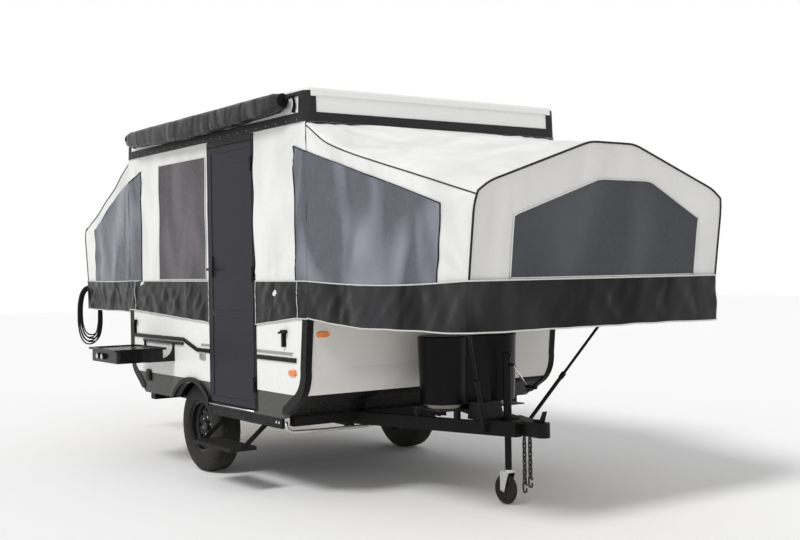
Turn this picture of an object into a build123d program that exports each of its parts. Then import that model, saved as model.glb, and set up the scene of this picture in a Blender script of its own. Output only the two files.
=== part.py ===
from build123d import *
from math import atan2, cos, degrees, hypot, radians, sin
import os

os.makedirs("parts", exist_ok=True)

# A folding camper trailer, set up on its jack, in millimetres.
# Lengths below run forward from the middle of the box and heights go up from the ground.
# The part's own origin is the centre of the hitch ball, +X forward, +Y to the road side, +Z up.
ball_height = 490
ball_ahead = 2545

# Clearances
seat_gap = 0.3
running_gap = 5

# Box: a raked nose, a tucked-in tail and flat sides
box_half_width = 1090
box_half_length = 1500
box_bottom = 556
box_top = 1243
side_wall = 40
end_wall = 30
nose_foot = 1154
nose_low = (1329, 666)
nose_bend = (1420, 740)
nose_high = (1468, 908)
nose_top = 1504
tail_foot = -1212
tail_low = (-1400, 690)
tail_bend = (-1466, 755)
tail_high = (-1496, 850)
edge_trim_width = 60
edge_trim_proud = 7
edge_trim_return = 42

# Doorway, door and hinges
doorway_rear = 50
doorway_front = 790
door_frame_width = 20
door_frame_header = 40
door_frame_top = 2530
door_sill = 576
door_sill_height = 8
door_frame_proud = 8
door_thickness = 38
door_proud = 10
door_panel_recess = 4
door_panel_margin = 45
hinge_radius = 6
hinge_leaf = 4
hinge_knuckle = 36
hinge_stand_off = 8
hinge_heights = (760, 1540, 2320)
handle_height = 1600

# Wheels
wheel_ahead = -279
wheel_radius = 352
wheel_width = 205
wheel_track = 1874
rim_radius = 190
rim_flange = 203
rim_width = 150
arch_radius = 413
arch_centre = 295
flare_width = 34
flare_proud = 26
well_clearance = 57
well_inner = 780
well_top = 780
well_sheet = 12
hub_radius = 42
spindle_radius = 17

# Chassis
rail_bottom = 470
rail_width = 50
rail_out = 725
rail_rear = -1330
rail_front = 500
cross_width = 60
cross_places = (-1290, -830, 470)
front_cross_ahead = 1115
front_cross_half = 1000
tongue_slope = 481 / 1450
tongue_nose = (2550, 44)
tongue_front = 2400
bumper_size = 90
axle_tube = 76
axle_ahead_of_wheel = 150
axle_half = 760
arm_thickness = 22

# Coupler
ball_socket_radius = 25.7
coupler_half = 46
coupler_bottom = 478
coupler_top = 572
coupler_tip = 2602
coupler_plate_rear = 2130

# Jack
jack_ahead = 2215
jack_outer_radius = 27
jack_outer_wall = 3.5
jack_leg_radius = 22.5
jack_top = 985
jack_leg_top = 715
caster_radius = 100
caster_width = 46
caster_trail = 28
caster_centre_height = 100
fork_gap = 4
fork_plate = 5
fork_top = 226

# Gas bottles on a raised tray, under a two-lobed cover
bottle_ahead = 1800
bottle_spread = 211
bottle_radius = 152
tray_height = 612
tray_thickness = 8
foot_ring = 26
bottle_height = 280
bottle_shoulder = 60
cover_bottom = 650
cover_top = 1106
cover_radius_low = 158
cover_radius_high = 172
cover_wall = 6

# Roof
roof_half = 1520
roof_half_width = 1095
roof_bottom = 2537
roof_top = 2765
roof_corner = 45
roof_skin = 35
roof_taper = 2
roof_trim_band = 63
roof_trim_edge = 30
roof_trim_proud = 6
roof_cap_width = 85

# Tent
tent_half_width = 1085
cloth = 10
tent_start = 1512
band_bottom = 1227
band_top = 1490
end_cloth = 8

# Bunks
board_half_width = 985
board_bottom = 1250
board_edge = 20
board_ply = 20
board_inner = 1415
bow_radius = 11
rail_top_height = 1249.7
bunk_rail_in = 930

# Lift posts, one at each corner of the box: outer size and top of each stage
post_ahead = 1400
post_foot = 880
post_size = 50
post_stages = ((post_size, 1225), (40, 1680), (30, 2130), (22, roof_top - roof_skin))


def spot(ahead, across, height):
    """A point measured from the box's middle and the ground, in the part's own frame."""
    return (ahead - ball_ahead, across, height - ball_height)


def side_plane(across):
    """Upright plane along the trailer: sketch x runs forward, sketch y is the height."""
    return Plane(origin=spot(0, across, 0), x_dir=(1, 0, 0), z_dir=(0, -1, 0))


def end_plane(ahead):
    """Upright plane across the trailer: sketch x is +Y, sketch y is the height."""
    return Plane(origin=spot(ahead, 0, 0), x_dir=(0, 1, 0), z_dir=(1, 0, 0))


def level(height):
    """Flat plane at a height above the ground."""
    return Plane(origin=spot(0, 0, height), x_dir=(1, 0, 0), z_dir=(0, 0, 1))


def rect(left, low, right, high, mode=Mode.ADD):
    """A rectangle in a sketch, by its corners."""
    with Locations(((left + right) / 2, (low + high) / 2)):
        Rectangle(right - left, high - low, mode=mode)


def block(rear, front, right, left, low, high, mode=Mode.ADD):
    """A block in a part, by its rear and front, its two sides and its heights."""
    with Locations(spot((rear + front) / 2, (right + left) / 2, (low + high) / 2)):
        Box(front - rear, left - right, high - low, mode=mode)


def tube_between(start, end, radius, mode=Mode.ADD):
    """A round bar from one point to another, both measured like spot."""
    a = Vector(*spot(*start))
    b = Vector(*spot(*end))
    with BuildSketch(Plane(origin=a, z_dir=b - a)) as end:
        Circle(radius)
    extrude(end.sketch, amount=(b - a).length, mode=mode)


def finish(piece, name):
    """Label a finished piece and write it to its own file."""
    piece.part.label = name
    export_step(piece.part, f"parts/{name}.step")


def side_outline(grow):
    """Side view of the box, grown or shrunk, left open-ended above its top."""
    above = box_top + 150
    with BuildSketch() as outline:
        with BuildLine():
            Polyline((nose_top, above), (nose_top, box_top), nose_high)
            ThreePointArc(nose_high, nose_bend, nose_low)
            Polyline(nose_low, (nose_foot, box_bottom), (tail_foot, box_bottom), tail_low)
            ThreePointArc(tail_low, tail_bend, tail_high)
            Polyline(
                tail_high,
                (-box_half_length, box_top),
                (-box_half_length, above),
                (nose_top, above),
            )
        make_face()
        if grow:
            offset(amount=grow)
    return outline.sketch


outline = side_outline(0)
outline_inside = side_outline(-end_wall)
outline_trim_in = side_outline(-edge_trim_width)
outline_trim_out = side_outline(edge_trim_proud)


# Box sides
def arch_circle(radius, mode):
    with Locations((wheel_ahead, arch_centre)):
        Circle(radius, mode=mode)


def box_side(side):
    """One side of the box: side is -1 by the door, +1 by the road."""
    with BuildPart() as wall:
        with BuildSketch(side_plane(side * box_half_width)):
            add(outline)
            rect(-2000, box_bottom, 2000, box_top, mode=Mode.INTERSECT)
            arch_circle(arch_radius, Mode.SUBTRACT)
            if side < 0:
                rect(doorway_rear, door_sill, doorway_front, box_top, mode=Mode.SUBTRACT)
        extrude(amount=side * side_wall)
    return wall


box_side_kerb = box_side(-1)
finish(box_side_kerb, "box_side_kerb")
box_side_road = box_side(1)
finish(box_side_road, "box_side_road")

# Box ends and floor: one shell that follows the side outline, parted where real panels meet
inner_half = box_half_width - side_wall
well_rear = wheel_ahead - wheel_radius - well_clearance - well_sheet
well_front = wheel_ahead + wheel_radius + well_clearance + well_sheet
floor_front = nose_foot - 24
floor_rear = tail_foot + 24


def shell_strip(rear, front):
    """A stretch of the box's shell between the side walls."""
    with BuildPart() as strip:
        with BuildSketch(side_plane(inner_half)):
            add(outline)
            add(outline_inside, mode=Mode.SUBTRACT)
            rect(rear, box_bottom, front, box_top, mode=Mode.INTERSECT)
        extrude(amount=2 * inner_half)
        if rear > -2000 and front < 2000:
            for side in (-1, 1):
                block(
                    well_rear,
                    well_front,
                    min(side * well_inner, side * inner_half),
                    max(side * well_inner, side * inner_half),
                    box_bottom,
                    box_bottom + end_wall,
                    mode=Mode.SUBTRACT,
                )
    return strip


box_front = shell_strip(floor_front, 2000)
finish(box_front, "box_front")
box_rear = shell_strip(-2000, floor_rear)
finish(box_rear, "box_rear")
floor_pan = shell_strip(floor_rear, floor_front)
finish(floor_pan, "floor_pan")

# Black mouldings over the box's four raked corners, wrapping onto nose and tail
with BuildPart() as edge_trims:
    with BuildSketch(side_plane(-box_half_width)):
        add(outline_trim_out)
        add(outline_trim_in, mode=Mode.SUBTRACT)
        rect(-2000, box_bottom + end_wall, 2000, box_top, mode=Mode.INTERSECT)
        rect(tail_foot, 0, nose_foot, box_top, mode=Mode.SUBTRACT)
    extrude(amount=edge_trim_proud)
    with BuildSketch(side_plane(-box_half_width)):
        add(outline_trim_out)
        add(outline, mode=Mode.SUBTRACT)
        rect(-2000, box_bottom + end_wall, 2000, box_top, mode=Mode.INTERSECT)
        rect(tail_foot, 0, nose_foot, box_top, mode=Mode.SUBTRACT)
    extrude(amount=-edge_trim_return)
    mirror(about=Plane.XZ)
finish(edge_trims, "edge_trims")

# Belt moulding: it steps up behind the wheel
belt_height = 30
belt_proud = 9
belt_low = 961
belt_high = 1030
belt_front = 1350
belt_rear = -1432
belt_step = (-430, -179)
with BuildPart() as belt_trims:
    for side, stretches in (
        (-1, ((belt_front, doorway_front + 4), (doorway_rear - 4, belt_rear))),
        (1, ((belt_front, belt_rear),)),
    ):
        with BuildSketch(side_plane(side * box_half_width)):
            for start, end in stretches:
                with BuildLine():
                    if end > belt_step[1]:
                        Line((start, belt_low), (end, belt_low))
                    else:
                        Polyline(
                            (start, belt_low),
                            (belt_step[1], belt_low),
                            (belt_step[0], belt_high),
                            (end, belt_high),
                        )
                trace(line_width=belt_height)
        extrude(amount=-side * belt_proud)
finish(belt_trims, "belt_trims")

# Wheel arches: flares outside, wells inside
with BuildPart() as wheel_flares:
    with BuildSketch(side_plane(-box_half_width)):
        arch_circle(arch_radius + flare_width, Mode.ADD)
        arch_circle(arch_radius, Mode.SUBTRACT)
        rect(-2000, box_bottom, doorway_rear - 4, box_top, mode=Mode.INTERSECT)
    extrude(amount=flare_proud)
    mirror(about=Plane.XZ)
finish(wheel_flares, "wheel_flares")

with BuildPart() as wheel_wells:
    for side in (-1, 1):
        near = side * well_inner
        far = side * inner_half
        block(well_rear, well_front, min(near, far), max(near, far), box_bottom, well_top)
        near = side * (well_inner + well_sheet)
        block(
            well_rear + well_sheet,
            well_front - well_sheet,
            min(near, far),
            max(near, far),
            box_bottom,
            well_top - well_sheet,
            mode=Mode.SUBTRACT,
        )
finish(wheel_wells, "wheel_wells")

# Chassis under the floor, with its rear bumper tube
with BuildPart() as chassis_frame:
    for side in (-1, 1):
        near = side * (rail_out - rail_width)
        far = side * rail_out
        block(rail_rear, rail_front, min(near, far), max(near, far), rail_bottom, box_bottom)
    for place in cross_places:
        block(
            place - cross_width / 2,
            place + cross_width / 2,
            -rail_out,
            rail_out,
            rail_bottom,
            box_bottom,
        )
    block(
        rail_rear - bumper_size,
        rail_rear,
        -rail_out - 230,
        rail_out + 230,
        rail_bottom,
        rail_bottom + bumper_size,
    )
    bumper_edges = chassis_frame.edges().filter_by(Axis.Y).group_by(Axis.X)[0]
    fillet(bumper_edges, radius=12)
finish(chassis_frame, "chassis_frame")


# A-frame: two rails that close towards the coupler, tied by the front cross-member
def tongue_outer(ahead):
    return tongue_nose[1] + (tongue_nose[0] - ahead) * tongue_slope


tongue_skew = rail_width * hypot(1, tongue_slope)
with BuildPart() as a_frame:
    for side in (-1, 1):
        with BuildSketch(level(rail_bottom)):
            with BuildLine():
                Polyline(
                    (rail_front, side * tongue_outer(rail_front)),
                    (tongue_front, side * tongue_outer(tongue_front)),
                    (tongue_front, side * (tongue_outer(tongue_front) - tongue_skew)),
                    (rail_front, side * (tongue_outer(rail_front) - tongue_skew)),
                    close=True,
                )
            make_face()
        extrude(amount=box_bottom - rail_bottom)
    block(
        front_cross_ahead - cross_width / 2,
        front_cross_ahead + cross_width / 2,
        -front_cross_half,
        front_cross_half,
        rail_bottom + 22,
        box_bottom,
    )
finish(a_frame, "a_frame")

# Axle: a rubber-sprung tube under the chassis with a trailing arm and spindle each side
half_track = wheel_track / 2
axle_ahead = wheel_ahead + axle_ahead_of_wheel
axle_top = rail_bottom
arm_out = half_track - rim_width / 2 - 14
with BuildPart() as axle:
    block(
        axle_ahead - axle_tube / 2,
        axle_ahead + axle_tube / 2,
        -axle_half,
        axle_half,
        axle_top - axle_tube,
        axle_top,
    )
    for side in (-1, 1):
        with BuildSketch(side_plane(side * (arm_out - arm_thickness))):
            with BuildLine():
                Polyline(
                    (axle_ahead + 34, axle_top - 8),
                    (axle_ahead + 34, axle_top - 68),
                    (wheel_ahead - 20, wheel_radius - 30),
                    (wheel_ahead - 30, wheel_radius + 20),
                    close=True,
                )
            make_face()
        extrude(amount=-side * arm_thickness)
        tube_between(
            (axle_ahead, side * (axle_half - 10), axle_top - axle_tube / 2),
            (axle_ahead, side * (arm_out - arm_thickness / 2), axle_top - axle_tube / 2),
            26,
        )
        tube_between(
            (wheel_ahead, side * (arm_out - arm_thickness / 2), wheel_radius),
            (wheel_ahead, side * (half_track + 30), wheel_radius),
            spindle_radius,
        )
finish(axle, "axle")


# Wheels: each tyre and its dished steel rim with round hand holes and a hub
def wheel_frame(side):
    """Plane through a wheel's middle: sketch x is outward along the axle, sketch y is radial."""
    origin = spot(wheel_ahead, side * half_track, wheel_radius)
    return Plane(origin=origin, x_dir=(0, side, 0), z_dir=(side, 0, 0))


def make_tyre(side):
    half = wheel_width / 2
    bead = rim_width / 2
    with BuildPart() as tyre:
        with BuildSketch(wheel_frame(side)):
            with BuildLine():
                Line((-bead, rim_radius), (-bead - 6, rim_flange + 6))
                ThreePointArc(
                    (-bead - 6, rim_flange + 6),
                    (-half, (rim_flange + wheel_radius) / 2 - 8),
                    (-half + 14, wheel_radius - 22),
                )
                Polyline(
                    (-half + 14, wheel_radius - 22),
                    (-half + 30, wheel_radius - 5),
                    (-30, wheel_radius),
                    (30, wheel_radius),
                    (half - 30, wheel_radius - 5),
                    (half - 14, wheel_radius - 22),
                )
                ThreePointArc(
                    (half - 14, wheel_radius - 22),
                    (half, (rim_flange + wheel_radius) / 2 - 8),
                    (bead + 6, rim_flange + 6),
                )
                Line((bead + 6, rim_flange + 6), (bead, rim_radius))
                Line((bead, rim_radius), (-bead, rim_radius))
            make_face()
        revolve(axis=Axis(spot(wheel_ahead, side * half_track, wheel_radius), (0, 1, 0)))
    return tyre


hole_count = 8
hole_radius = 19
hole_circle = 128
disc_face = 38
disc_sheet = 9


def make_rim(side):
    bead = rim_width / 2
    axis = Axis(spot(wheel_ahead, side * half_track, wheel_radius), (0, 1, 0))
    with BuildPart() as rim:
        with BuildSketch(wheel_frame(side)):
            with BuildLine():
                Polyline(
                    (-bead, rim_radius),
                    (bead, rim_radius),
                    (bead + 8, rim_flange),
                    (bead + 12, rim_flange - 3),
                    (bead + 4, rim_radius - 8),
                    (44, rim_radius - 8),
                    (30, rim_radius - 24),
                    (-30, rim_radius - 24),
                    (-44, rim_radius - 8),
                    (-bead - 4, rim_radius - 8),
                    (-bead - 12, rim_flange - 3),
                    (-bead - 8, rim_flange),
                    close=True,
                )
            make_face()
        revolve(axis=axis)
        with BuildSketch(wheel_frame(side)):
            with BuildLine():
                Polyline(
                    (0, rim_radius - 23),
                    (disc_face - 6, hole_circle + 26),
                    (disc_face, hole_circle),
                    (disc_face - 16, 82),
                    (disc_face - 16, spindle_radius + 1),
                    (disc_face - 16 - disc_sheet, spindle_radius + 1),
                    (disc_face - 16 - disc_sheet, 86),
                    (disc_face - disc_sheet, hole_circle - 4),
                    (disc_face - disc_sheet - 6, hole_circle + 22),
                    (-disc_sheet, rim_radius - 23),
                    close=True,
                )
            make_face()
        revolve(axis=axis)
        with BuildSketch(side_plane(side * (half_track + 90))):
            with Locations((wheel_ahead, wheel_radius)):
                with PolarLocations(hole_circle, hole_count):
                    Circle(hole_radius)
        extrude(amount=side * 140, mode=Mode.SUBTRACT)
        with BuildSketch(wheel_frame(side)):
            with BuildLine():
                Polyline(
                    (-60, spindle_radius + 1),
                    (-60, hub_radius + 22),
                    (disc_face - 25, hub_radius + 22),
                    (disc_face - 25, hub_radius),
                    (disc_face + 12, hub_radius - 4),
                    (disc_face + 18, hub_radius - 12),
                    (disc_face + 18, 0),
                    (disc_face, 0),
                    (disc_face, spindle_radius + 1),
                    close=True,
                )
            make_face()
        revolve(axis=axis)
    return rim


tyre_kerb = make_tyre(-1)
finish(tyre_kerb, "tyre_kerb")
tyre_road = make_tyre(1)
finish(tyre_road, "tyre_road")
rim_kerb = make_rim(-1)
finish(rim_kerb, "rim_kerb")
rim_road = make_rim(1)
finish(rim_road, "rim_road")

# Door frame: two jambs, a header and a sill, with its half of each hinge
opening_rear = doorway_rear + door_frame_width
opening_front = doorway_front - door_frame_width
opening_low = door_sill + door_sill_height
opening_high = door_frame_top - door_frame_header
frame_face = box_half_width + door_frame_proud
hinge_ahead = opening_front - 2
hinge_across = -(box_half_width + door_proud + hinge_stand_off)

with BuildPart() as door_frame:
    with BuildSketch(side_plane(-(box_half_width - side_wall))):
        rect(doorway_rear, door_sill, doorway_front, door_frame_top)
        rect(opening_rear, opening_low, opening_front, opening_high, mode=Mode.SUBTRACT)
    extrude(amount=side_wall + door_frame_proud)
    for height in hinge_heights:
        for low, high in (
            (height - 1.5 * hinge_knuckle, height - 0.5 * hinge_knuckle - 1),
            (height + 0.5 * hinge_knuckle + 1, height + 1.5 * hinge_knuckle),
        ):
            block(
                hinge_ahead,
                doorway_front - 3,
                hinge_across,
                -frame_face,
                low,
                high,
            )
            tube_between(
                (hinge_ahead, hinge_across, low),
                (hinge_ahead, hinge_across, high),
                hinge_radius,
            )
finish(door_frame, "door_frame")

# Door: one full-height leaf with a raised border, a lever handle and its half of each hinge
leaf_rear = opening_rear + running_gap
leaf_front = opening_front - running_gap
leaf_low = opening_low + running_gap
leaf_high = opening_high - running_gap
leaf_face = box_half_width + door_proud
kick_top = 1230
with BuildPart() as door_leaf:
    with BuildSketch(side_plane(-(leaf_face - door_thickness))):
        rect(leaf_rear, leaf_low, leaf_front, leaf_high)
    extrude(amount=door_thickness)
    with BuildSketch(side_plane(-(leaf_face - door_panel_recess))):
        inset = door_panel_margin
        rect(leaf_rear + inset, kick_top + inset, leaf_front - inset, leaf_high - inset)
        rect(leaf_rear + inset, leaf_low + inset, leaf_front - inset, kick_top)
    extrude(amount=door_panel_recess, mode=Mode.SUBTRACT)
    for height in hinge_heights:
        low = height - 0.5 * hinge_knuckle
        high = height + 0.5 * hinge_knuckle
        block(leaf_front - 26, hinge_ahead, hinge_across, -leaf_face, low, high)
        tube_between(
            (hinge_ahead, hinge_across, low),
            (hinge_ahead, hinge_across, high),
            hinge_radius,
        )
    with BuildSketch(side_plane(-leaf_face)):
        with Locations((leaf_rear + 36, handle_height)):
            RectangleRounded(44, 150, 10)
    extrude(amount=9)
    tube_between(
        (leaf_rear + 36, -leaf_face - 9, handle_height - 22),
        (leaf_rear + 36, -leaf_face - 34, handle_height - 22),
        10,
    )
    with BuildSketch(side_plane(-leaf_face - 26)):
        with Locations((leaf_rear + 70, handle_height - 22)):
            RectangleRounded(96, 20, 8)
    extrude(amount=14)
finish(door_leaf, "door_leaf")

# Roof: a hollow lid with a skirt, its dark trims and corner caps
roof_height = roof_top - roof_bottom


def roof_sketch(grow):
    RectangleRounded(2 * (roof_half + grow), 2 * (roof_half_width + grow), roof_corner + grow)


with BuildPart() as roof_shell:
    with BuildSketch(level(roof_bottom)):
        roof_sketch(0)
    extrude(amount=roof_height, taper=roof_taper)
    fillet(roof_shell.faces().sort_by(Axis.Z)[-1].edges(), radius=22)
    with BuildSketch(level(roof_bottom)):
        roof_sketch(-roof_skin)
    extrude(amount=roof_height - roof_skin, taper=roof_taper, mode=Mode.SUBTRACT)
finish(roof_shell, "roof_shell")

with BuildPart() as roof_trim:
    trim_height = roof_height - 24
    with BuildSketch(level(roof_bottom)):
        roof_sketch(roof_trim_proud)
    extrude(amount=trim_height, taper=roof_taper)
    with BuildSketch(level(roof_bottom)):
        roof_sketch(0)
    extrude(amount=trim_height, taper=roof_taper, mode=Mode.SUBTRACT)
    window_low = roof_bottom + roof_trim_band
    window_high = roof_bottom + trim_height - roof_trim_edge
    cap_ahead = roof_half - roof_cap_width
    cap_across = roof_half_width - roof_cap_width
    far = roof_half + 50
    block(-cap_ahead, cap_ahead, -far, far, window_low, window_high, mode=Mode.SUBTRACT)
    block(-far, far, -cap_across, cap_across, window_low, window_high, mode=Mode.SUBTRACT)
finish(roof_trim, "roof_trim")

# Roof latches at the box's four corners: a plate, a strap and a T handle
latch_places = (1196, -1400)
latch_low = 1046
latch_high = 1152
with BuildPart() as roof_latches:
    for place in latch_places:
        with BuildSketch(side_plane(-box_half_width)):
            with Locations((place, (latch_low + latch_high) / 2)):
                RectangleRounded(34, latch_high - latch_low, 8)
        extrude(amount=9)
        face = -box_half_width - 9
        block(place - 11, place + 11, face - 15, face, latch_low, latch_high + 8)
        block(place - 12, place + 46, face - 21, face, latch_high - 14, latch_high + 10)
    mirror(about=Plane.XZ)
finish(roof_latches, "roof_latches")

# Lift posts: telescoping square stages that carry the roof
post_out = inner_half - post_size / 2
with BuildPart() as lift_posts:
    low = post_foot
    for size, top in post_stages:
        with BuildSketch(level(low)):
            with Locations(
                (post_ahead, post_out),
                (post_ahead, -post_out),
                (-post_ahead, post_out),
                (-post_ahead, -post_out),
            ):
                Rectangle(size, size)
        extrude(amount=top - low)
        low = top
finish(lift_posts, "lift_posts")

# Awning bag on the door side of the roof, closed at both ends
awning_rear = -1300
awning_front = 1337
awning_size = (114, 118)
awning_height = 2690
awning_across = -(roof_half_width + roof_trim_proud + awning_size[0] / 2)
with BuildPart() as awning_bag:
    with BuildSketch(end_plane(awning_rear)):
        with Locations((awning_across, awning_height)):
            RectangleRounded(awning_size[0], awning_size[1], 48)
    extrude(amount=awning_front - awning_rear)
    fillet(awning_bag.faces().filter_by(Axis.X).edges(), radius=16)
finish(awning_bag, "awning_bag")

# Tent walls between the box and the roof; the door side is parted by the door
wall_foot = box_top + seat_gap
wall_head = roof_bottom - seat_gap
window_foot = 1500
window_head = 2425
wall_windows = {-1: ((-884, -18),), 1: ((-1180, -260), (260, 1180))}
tent_end_gap = tent_start - seat_gap


def tent_wall(side):
    with BuildPart() as wall:
        with BuildSketch(side_plane(side * tent_half_width)):
            rect(-tent_end_gap, wall_foot, tent_end_gap, wall_head)
            for rear, front in wall_windows[side]:
                rect(rear, window_foot, front, window_head, mode=Mode.SUBTRACT)
            if side < 0:
                rect(doorway_rear, 0, doorway_front, roof_top, mode=Mode.SUBTRACT)
        extrude(amount=side * cloth)
    return wall


tent_wall_kerb = tent_wall(-1)
finish(tent_wall_kerb, "tent_wall_kerb")
tent_wall_road = tent_wall(1)
finish(tent_wall_road, "tent_wall_road")

with BuildPart() as tent_windows:
    for side, windows in wall_windows.items():
        with BuildSketch(side_plane(side * (tent_half_width - 2))):
            for rear, front in windows:
                rect(rear, window_foot, front, window_head)
        extrude(amount=side * (cloth - 6))
finish(tent_windows, "tent_windows")

# Tent ends: cloth shells that slope from the roof down to the bow over each bunk.
# Each table has one row per station: distance from the box's middle, half width,
# shoulder height, half width of the ridge and ridge height.
front_reach = 3071
rear_reach = 2751
lean_angle = 9.6
front_stations = (
    (tent_start, 1085, 2496, 520, 2536),
    (1790, 1072, 2372, 420, 2486),
    (front_reach, 1010, 2000, 181, 2280),
)
rear_stations = (
    (tent_start, 1085, 2496, 520, 2536),
    (1870, 1066, 2268, 420, 2436),
    (rear_reach, 1010, 2006, 181, 2280),
)


def station_sketch(sign, station, inset, last):
    """One cross-section of a tent end above its band; the last one leans outward."""
    ahead, half, shoulder, ridge_half, ridge = station
    lean = radians(lean_angle) if last else 0
    plane = Plane(
        origin=spot(sign * ahead, 0, band_top),
        x_dir=(0, 1, 0),
        z_dir=(cos(lean), 0, -sign * sin(lean)),
    )
    foot = -1 if inset else 0
    rise = (shoulder - band_top - inset) / cos(lean)
    crest = (ridge - band_top - inset) / cos(lean)
    half -= inset
    with BuildSketch(plane) as section:
        with BuildLine():
            Polyline(
                (-half, foot),
                (-half, rise),
                (-ridge_half, crest),
                (ridge_half, crest),
                (half, rise),
                (half, foot),
                close=True,
            )
        make_face()
    return section.sketch


def tent_volume(sign, stations, inset):
    """The solid under the cloth, or the cloth's outside when the inset is 0."""
    reach = stations[-1][0] - inset
    rows = [list(row) for row in stations]
    rows[-1][0] = reach
    start = rows[0][0] - (1 if inset else 0)
    rows[0][0] = start
    for number in range(len(rows) - 1):
        last = number == len(rows) - 2
        loft(
            [
                station_sketch(sign, rows[number], inset, False),
                station_sketch(sign, rows[number + 1], inset, last),
            ],
            ruled=True,
            mode=Mode.ADD,
        )
    near = rows[0][1] - inset
    far = rows[-1][1] - inset
    foot = band_bottom - (1 if inset else 0)
    with BuildSketch(level(foot)) as plan:
        with BuildLine():
            Polyline(
                (sign * start, -near),
                (sign * reach, -far),
                (sign * reach, far),
                (sign * start, near),
                close=True,
            )
        make_face()
    extrude(plan.sketch, amount=band_top - foot)


def tent_end(sign, stations):
    with BuildPart() as hollow:
        tent_volume(sign, stations, end_cloth)
    with BuildPart() as tent:
        tent_volume(sign, stations, 0)
        add(hollow.part, mode=Mode.SUBTRACT)
    return tent


tent_front = tent_end(1, front_stations)
finish(tent_front, "tent_front")
tent_rear = tent_end(-1, rear_stations)
finish(tent_rear, "tent_rear")


# Bunks: a ply board on a tube frame, and the bow that holds up the tent end
def bunk_board(sign, outer):
    rear, front = sorted((sign * board_inner, sign * outer))
    with BuildPart() as board:
        block(
            rear,
            front,
            -board_half_width,
            board_half_width,
            board_bottom + board_edge,
            board_bottom + board_edge + board_ply,
        )
        with BuildSketch(level(board_bottom)):
            rect(rear, -board_half_width, front, board_half_width)
            rib_span = (front - rear - 40) / 4
            rib_half = board_half_width - 40
            for number in range(4):
                start = rear + 40 + number * rib_span
                rect(start, -rib_half, start + rib_span - 40, rib_half, mode=Mode.SUBTRACT)
        extrude(amount=board_edge)
    return board


board_gap = 21
board_front_end = front_reach - board_gap
board_rear_end = rear_reach - board_gap
bunk_front = bunk_board(1, board_front_end)
finish(bunk_front, "bunk_front")
bunk_rear = bunk_board(-1, board_rear_end)
finish(bunk_rear, "bunk_rear")


def tent_bow(sign, stations, outer):
    """The bent tube under the tent end's front edge, standing on the board."""
    ahead, half, shoulder, ridge_half, ridge = stations[-1]
    lean = radians(lean_angle)
    foot = board_bottom + board_edge + board_ply
    plane = Plane(
        origin=spot(sign * (outer - 45), 0, foot),
        x_dir=(0, 1, 0),
        z_dir=(cos(lean), 0, -sign * sin(lean)),
    )
    side = board_half_width - 16
    rise = (shoulder - 30 - foot) / cos(lean)
    crest = (ridge - 34 - foot) / cos(lean)
    with BuildPart() as bow:
        with BuildLine(plane) as path:
            FilletPolyline(
                (-side, 0),
                (-side, rise),
                (-ridge_half + 10, crest),
                (ridge_half - 10, crest),
                (side, rise),
                (side, 0),
                radius=90,
            )
        with BuildSketch(Plane(origin=path.line @ 0, z_dir=path.line % 0)):
            Circle(bow_radius)
        sweep(path=path.line)
        block(
            -9999,
            9999,
            -2000,
            2000,
            foot - 200,
            foot,
            mode=Mode.SUBTRACT,
        )
    return bow


bow_front = tent_bow(1, front_stations, board_front_end)
finish(bow_front, "bow_front")
bow_rear = tent_bow(-1, rear_stations, board_rear_end)
finish(bow_rear, "bow_rear")

# Slide rails for the bunks, inside the box's top edges and clear of the doorway
with BuildPart() as bunk_rails:
    for rear, front in ((-1469, doorway_rear - 12), (doorway_front + 12, 1469)):
        for side in (-1, 1):
            near = side * bunk_rail_in
            mid = side * (bunk_rail_in + 30)
            far = side * inner_half
            block(rear, front, min(near, mid), max(near, mid), 1200, rail_top_height)
            block(rear, front, min(mid, far), max(mid, far), 1200, 1206)
    for side in (-1, 1):
        near = side * (post_out - post_size / 2)
        far = side * (inner_half + 1)
        for place in (-post_ahead, post_ahead):
            half = post_size / 2
            block(
                place - half,
                place + half,
                min(near, far),
                max(near, far),
                1100,
                1300,
                mode=Mode.SUBTRACT,
            )
finish(bunk_rails, "bunk_rails")

# Coupler: a plate over the A-frame's nose and a housing with the ball socket
plate_thickness = 10
plate_top = box_bottom + plate_thickness
housing_rear = 2385
with BuildPart() as coupler:
    with BuildSketch(level(box_bottom)):
        with BuildLine():
            Polyline(
                (coupler_plate_rear, -tongue_outer(coupler_plate_rear)),
                (housing_rear, -tongue_outer(housing_rear)),
                (housing_rear + 60, -coupler_half),
                (housing_rear + 60, coupler_half),
                (housing_rear, tongue_outer(housing_rear)),
                (coupler_plate_rear, tongue_outer(coupler_plate_rear)),
                close=True,
            )
        make_face()
        with Locations((jack_ahead, 0)):
            Circle(jack_outer_radius + 0.5, mode=Mode.SUBTRACT)
    extrude(amount=plate_thickness)
    with BuildSketch(level(coupler_bottom)):
        with BuildLine():
            Polyline(
                (tongue_front, -coupler_half),
                (ball_ahead, -coupler_half),
            )
            ThreePointArc(
                (ball_ahead, -coupler_half), (coupler_tip, 0), (ball_ahead, coupler_half)
            )
            Polyline(
                (ball_ahead, coupler_half),
                (tongue_front, coupler_half),
                (tongue_front, -coupler_half),
            )
        make_face()
    extrude(amount=coupler_top - coupler_bottom)
    with Locations(spot(ball_ahead, 0, ball_height)):
        Sphere(ball_socket_radius, mode=Mode.SUBTRACT)
    with BuildSketch(level(coupler_bottom - 1)):
        with Locations((ball_ahead, 0)):
            Circle(ball_socket_radius)
    extrude(amount=ball_height - coupler_bottom + 1, mode=Mode.SUBTRACT)
    with BuildSketch(side_plane(0)):
        with BuildLine():
            Polyline(
                (2478, coupler_top - 3),
                (2560, coupler_top - 3),
                (2588, coupler_top + 74),
                (2568, coupler_top + 72),
                (2540, coupler_top + 18),
                (2478, coupler_top + 14),
                close=True,
            )
        make_face()
    extrude(amount=11, both=True)
finish(coupler, "coupler")

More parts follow.
